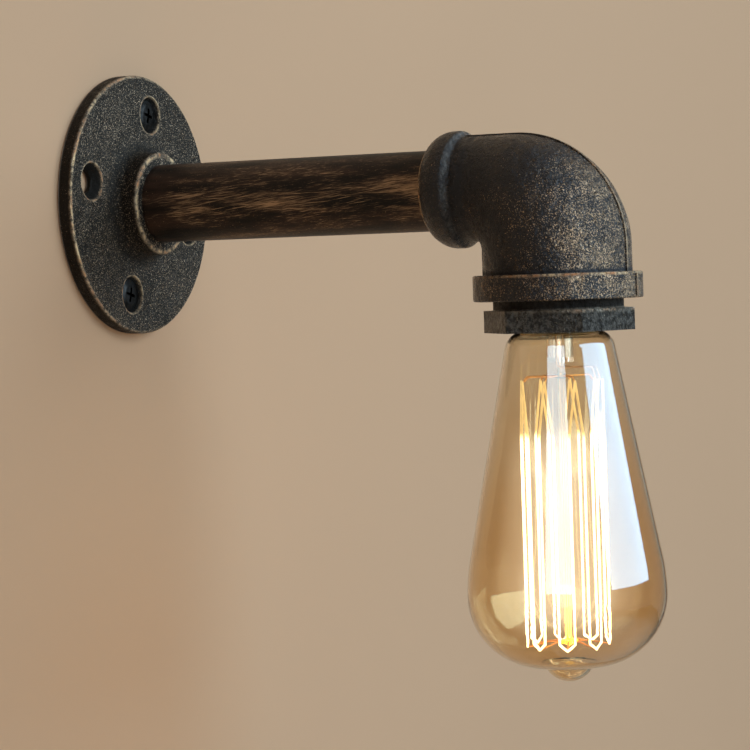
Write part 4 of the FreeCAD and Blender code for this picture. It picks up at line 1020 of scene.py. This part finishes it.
@dataclass
class Head:
    """Elbow and bushing, with the lampholder and its wiring inside."""

    elbow: AntiquedIron = AntiquedIron(
        "elbow_antiqued",
        Wear.ELBOW,
        ground=linear(4, 3, 2),
        haze=linear(13, 8, 5),
        rub=linear(188, 156, 122),
        cover=0.72,
        shine=0.44,
        coat=0.12,
        fleck=0.00044,
        gloss=0.29,
        lumps=0.0016,
        sheen_tint=(0.95, 0.94, 1.0),
    )
    bushing: AntiquedIron = AntiquedIron(
        "bushing_antiqued",
        Wear.HEXAGON,
        ground=linear(8, 10, 12),
        haze=linear(98, 94, 88),
        rub=linear(150, 138, 118),
        cover=0.3,
        shine=0.5,
        coat=0.15,
        gloss=0.42,
        lumps=0.0045,
        clouds=0.0016,
        # near-white tone of the worn upper edge, partly a painted highlight
        lip=linear(238, 226, 208),
        copper=linear(206, 168, 138),
    )
    inside: dict[str, Finish] = field(
        default_factory=lambda: {
            "lampholder_body": FiredClay(
                "holder_glaze", linear(226, 220, 208), linear(208, 200, 186)
            ),
            "screw_shell": TurnedMetal("shell_brass", linear(208, 170, 98), linear(160, 122, 66)),
            "centre_contact": TurnedMetal(
                "contact_brass", linear(216, 180, 110), linear(170, 132, 74)
            ),
            "contact_rivet": TurnedMetal("rivet_brass", linear(204, 166, 96), linear(150, 116, 62)),
            "shell_rivet": TurnedMetal(
                "rivet_brass_plain", linear(204, 166, 96), linear(150, 116, 62)
            ),
            "live_terminal": TurnedMetal(
                "terminal_brass", linear(200, 160, 90), linear(146, 110, 58)
            ),
            "neutral_terminal": TurnedMetal(
                "terminal_brass_plain", linear(200, 160, 90), linear(146, 110, 58)
            ),
            "terminal_screws": TurnedMetal(
                "clamp_screw_zinc", linear(190, 188, 180), linear(140, 138, 130)
            ),
            "live_wire": Sleeving("wire_black", linear(24, 24, 25), linear(60, 60, 62)),
            "neutral_wire": Sleeving("wire_white", linear(222, 220, 212), linear(190, 186, 176)),
            "earth_wire": Sleeving("wire_green", linear(44, 118, 52), linear(90, 150, 80)),
            "wire_ferrules": TurnedMetal(
                "ferrule_tin", linear(202, 202, 200), linear(150, 150, 148)
            ),
            "earth_tag": TurnedMetal("tag_tin", linear(206, 196, 168), linear(160, 148, 118)),
            "earth_screw": TurnedMetal(
                "earth_screw_zinc", linear(192, 196, 176), linear(138, 142, 122)
            ),
        }
    )

    def build(self) -> None:
        """Dress the castings and the pieces inside them."""
        self.elbow.dress(node("pipe_elbow"))
        self.bushing.dress(node("hex_bushing"))
        for name, finish in self.inside.items():
            finish.dress(node(name))


@dataclass
class FilamentBulb:
    """The lit bulb: cap, envelope, stem, supports and filament."""

    amber: BlownGlass = BlownGlass(
        "bulb_amber",
        linear(247, 237, 217),
        linear(240, 209, 154),
        lacquer=0.5,
        sheen_tint=(0.6, 0.86, 1.0),
        haze=0.145,
    )
    stem: BlownGlass = BlownGlass(
        "stem_clear", linear(254, 252, 250), linear(238, 232, 222), lacquer=1.0
    )
    rod: BlownGlass = BlownGlass(
        "rod_clear", linear(253, 250, 240), linear(236, 212, 150), painted_glow=1.4
    )
    strand: HotStrand = HotStrand()
    fittings: dict[str, Finish] = field(
        default_factory=lambda: {
            "bulb_cap": TurnedMetal("cap_brass", linear(214, 174, 100), linear(160, 122, 62)),
            "bulb_contact": TurnedMetal(
                "contact_solder", linear(190, 190, 188), linear(140, 140, 138), gloss=0.4
            ),
            "cap_insulator": FiredClay(
                "insulator_black", linear(26, 26, 28), linear(40, 38, 40), gloss=0.15
            ),
            "cap_cement": FiredClay(
                "cement_bare", linear(190, 180, 160), linear(160, 150, 130), gloss=0.75
            ),
            "lead_wires": TurnedMetal(
                "lead_coppered", linear(226, 184, 140), linear(190, 140, 96), gloss=0.35, metal=0.3
            ),
            "upper_supports": TurnedMetal(
                "upper_hook_wire", linear(238, 170, 96), linear(206, 128, 66), gloss=0.35, metal=0.3
            ),
            "lower_supports": TurnedMetal(
                "lower_hook_wire", linear(240, 160, 76), linear(206, 116, 50), gloss=0.35, metal=0.3
            ),
        }
    )

    def build(self) -> None:
        """Dress the glass, the filament and the cap's and cage's pieces."""
        self.amber.dress(node("bulb_glass"))
        self.stem.dress(node("bulb_stem"))
        self.rod.dress(node("bulb_rod"))
        self.strand.dress(node("filament"))
        for name, finish in self.fittings.items():
            finish.dress(node(name))


@dataclass(frozen=True)
class Lamp:
    """A soft rectangular lamp: place, aim and size in metres, power in watts, and colour.

    A lamp that is only in the bulb shows there as a reflection and lights nothing else.
    """

    name: str
    place: Triple
    aim: Triple
    size: tuple[float, float]
    power: float
    colour: Colour
    only_in_bulb: bool = False

    def build(self, bulb: bpy.types.Collection) -> None:
        """Hang the lamp.

        Args:
            bulb: The pieces that a lamp lights if it is only in the bulb.
        """
        data = bpy.data.lights.new(self.name, "AREA")
        data.shape = "RECTANGLE"
        data.size, data.size_y = self.size
        data.energy = self.power
        data.color = self.colour
        lamp = bpy.data.objects.new(self.name, data)
        lamp.location = self.place
        ahead = Vector(self.aim) - Vector(self.place)
        lamp.rotation_euler = ahead.to_track_quat("-Z", "Y").to_euler()
        bpy.context.scene.collection.objects.link(lamp)
        if self.only_in_bulb:
            lamp.visible_diffuse = False
            lamp.light_linking.receiver_collection = bulb
        LOG.info("lamp %s hung", self.name)


@dataclass
class Studio:
    """Plain wall and floor, soft lamps, pale surroundings and the camera."""

    wall: PlainWall = PlainWall("wall_pale", linear(195, 154, 120), one_sided=True)
    floor: PlainWall = PlainWall("floor_pale", linear(214, 206, 192))
    wall_y: float = 0.0004
    wall_top: float = 2.4
    floor_z: float = -1.05
    half_wide: float = 3
    bulb_aim: Triple = (0.0, -0.16, -0.06)
    pipe_aim: Triple = (0.0, -0.1, 0.0)
    back_aim: Triple = (0.0, 0.0, -0.1)
    bulb_pieces: tuple[str, ...] = (
        "bulb_glass",
        "bulb_stem",
        "bulb_rod",
        "lead_wires",
        "upper_supports",
        "lower_supports",
    )
    eye: Triple = (-0.908457, -0.569709, -0.026252)
    yaw: float = 62.356
    pitch: float = -1.897
    roll: float = -1.891
    focal: float = 3080.93
    frame_width: int = 750
    sensor: float = 36.0
    air: Colour = (0.92, 0.9, 0.87)
    ambience: float = 0.14
    backdrop: float = 0.82
    through_glass: float = 0.5

    def lamps(self) -> list[Lamp]:
        """A window with some sky in it, a second pane and weak lamps round the room.

        Returns:
            The lamps, in the order in which they are hung.
        """
        return [
            Lamp(
                "window",
                place=(0.36, -1.60, 0.50),
                aim=self.bulb_aim,
                size=(1.8, 1.3),
                power=43.0,
                colour=(0.58, 0.8, 1.0),
            ),
            Lamp(
                "sky_in_window",
                place=(0.355, -1.58, 0.492),
                aim=self.bulb_aim,
                size=(1.8, 1.3),
                power=15.0,
                colour=(0.19, 0.48, 1.0),
                only_in_bulb=True,
            ),
            Lamp(
                "second_pane",
                place=(-1.83, -0.68, 0.54),
                aim=self.bulb_aim,
                size=(1.2, 1.4),
                power=28.0,
                colour=(0.74, 0.85, 1.0),
                only_in_bulb=True,
            ),
            Lamp(
                "ceiling",
                place=(-0.6, -0.9, 1.7),
                aim=self.pipe_aim,
                size=(1.2, 0.8),
                power=1.4,
                colour=(1.0, 0.95, 0.88),
            ),
            Lamp(
                "fill",
                place=(-1.6, -0.8, -0.2),
                aim=self.pipe_aim,
                size=(0.7, 0.5),
                power=2.0,
                colour=(1.0, 0.93, 0.84),
            ),
            Lamp(
                "behind_wall",
                place=(-0.9, 1.5, 0.9),
                aim=self.back_aim,
                size=(1.8, 1.4),
                power=30.0,
                colour=(1.0, 0.96, 0.9),
            ),
        ]

    def sheet(self, name: str, corners: list[Triple], finish: Finish) -> None:
        """One flat sheet of the stage.

        Args:
            name: Name of the sheet.
            corners: Its four corners.
            finish: Its finish.
        """
        mesh = bpy.data.meshes.new(name)
        mesh.from_pydata(corners, [], [(0, 1, 2, 3)])
        piece = bpy.data.objects.new(name, mesh)
        bpy.context.scene.collection.objects.link(piece)
        finish.dress(piece)

    def stage(self) -> None:
        """Set up the wall and the floor."""
        side, back, low, top = self.half_wide, self.wall_y, self.floor_z, self.wall_top
        wall = [(-side, back, low), (side, back, low), (side, back, top), (-side, back, top)]
        floor = [(-side, -side, low), (side, -side, low), (side, side, low), (-side, side, low)]
        self.sheet("wall", wall, self.wall)
        self.sheet("floor", floor, self.floor)

    def surroundings(self) -> None:
        """Pale even light from all round, seen brighter by the camera and through glass."""
        world = bpy.data.worlds.new("pale_room")
        world.use_nodes = True
        nodes, links = world.node_tree.nodes, world.node_tree.links
        back = nodes["Background"]
        back.inputs["Color"].default_value = (*self.air, 1.0)
        seen = nodes.new("ShaderNodeLightPath")
        either = nodes.new("ShaderNodeMath")
        either.operation = "MULTIPLY_ADD"
        strength = nodes.new("ShaderNodeMapRange")
        links.new(seen.outputs["Is Transmission Ray"], either.inputs[0])
        either.inputs[1].default_value = self.through_glass
        links.new(seen.outputs["Is Camera Ray"], either.inputs[2])
        links.new(either.outputs[0], strength.inputs["Value"])
        strength.inputs["To Min"].default_value = self.ambience
        strength.inputs["To Max"].default_value = self.backdrop
        links.new(strength.outputs[0], back.inputs["Strength"])
        bpy.context.scene.world = world

    def camera(self) -> None:
        """Set the camera at the photograph's place and angle."""
        yaw, pitch, roll = (math.radians(angle) for angle in (self.yaw, self.pitch, self.roll))
        level = math.cos(pitch)
        ahead = Vector((math.sin(yaw) * level, math.cos(yaw) * level, math.sin(pitch)))
        right = ahead.cross(Vector((0, 0, 1))).normalized()
        up = right.cross(ahead)
        across = right * math.cos(roll) + up * math.sin(roll)
        upward = up * math.cos(roll) - right * math.sin(roll)
        data = bpy.data.cameras.new("camera")
        data.sensor_width = self.sensor
        data.lens = self.focal / self.frame_width * data.sensor_width
        camera = bpy.data.objects.new("camera", data)
        turn = Matrix((across, upward, -ahead)).transposed().to_4x4()
        camera.matrix_world = Matrix.Translation(Vector(self.eye)) @ turn
        bpy.context.scene.collection.objects.link(camera)
        bpy.context.scene.camera = camera

    def build(self) -> None:
        """Set up the stage, the lamps, the surroundings and the camera."""
        self.stage()
        bulb = bpy.data.collections.new("lit_by_panes")
        for name in self.bulb_pieces:
            bulb.objects.link(node(name))
        for lamp in self.lamps():
            lamp.build(bulb)
        self.surroundings()
        self.camera()
        bpy.context.scene.view_settings.view_transform = "Standard"


def main() -> None:
    """Build and dress the whole light."""
    logging.basicConfig(level=logging.INFO)
    for assembly in (WallSide(), Head(), FilamentBulb(), Studio()):
        assembly.build()
        LOG.info("%s done", type(assembly).__name__)


if __name__ == "__main__":
    main()
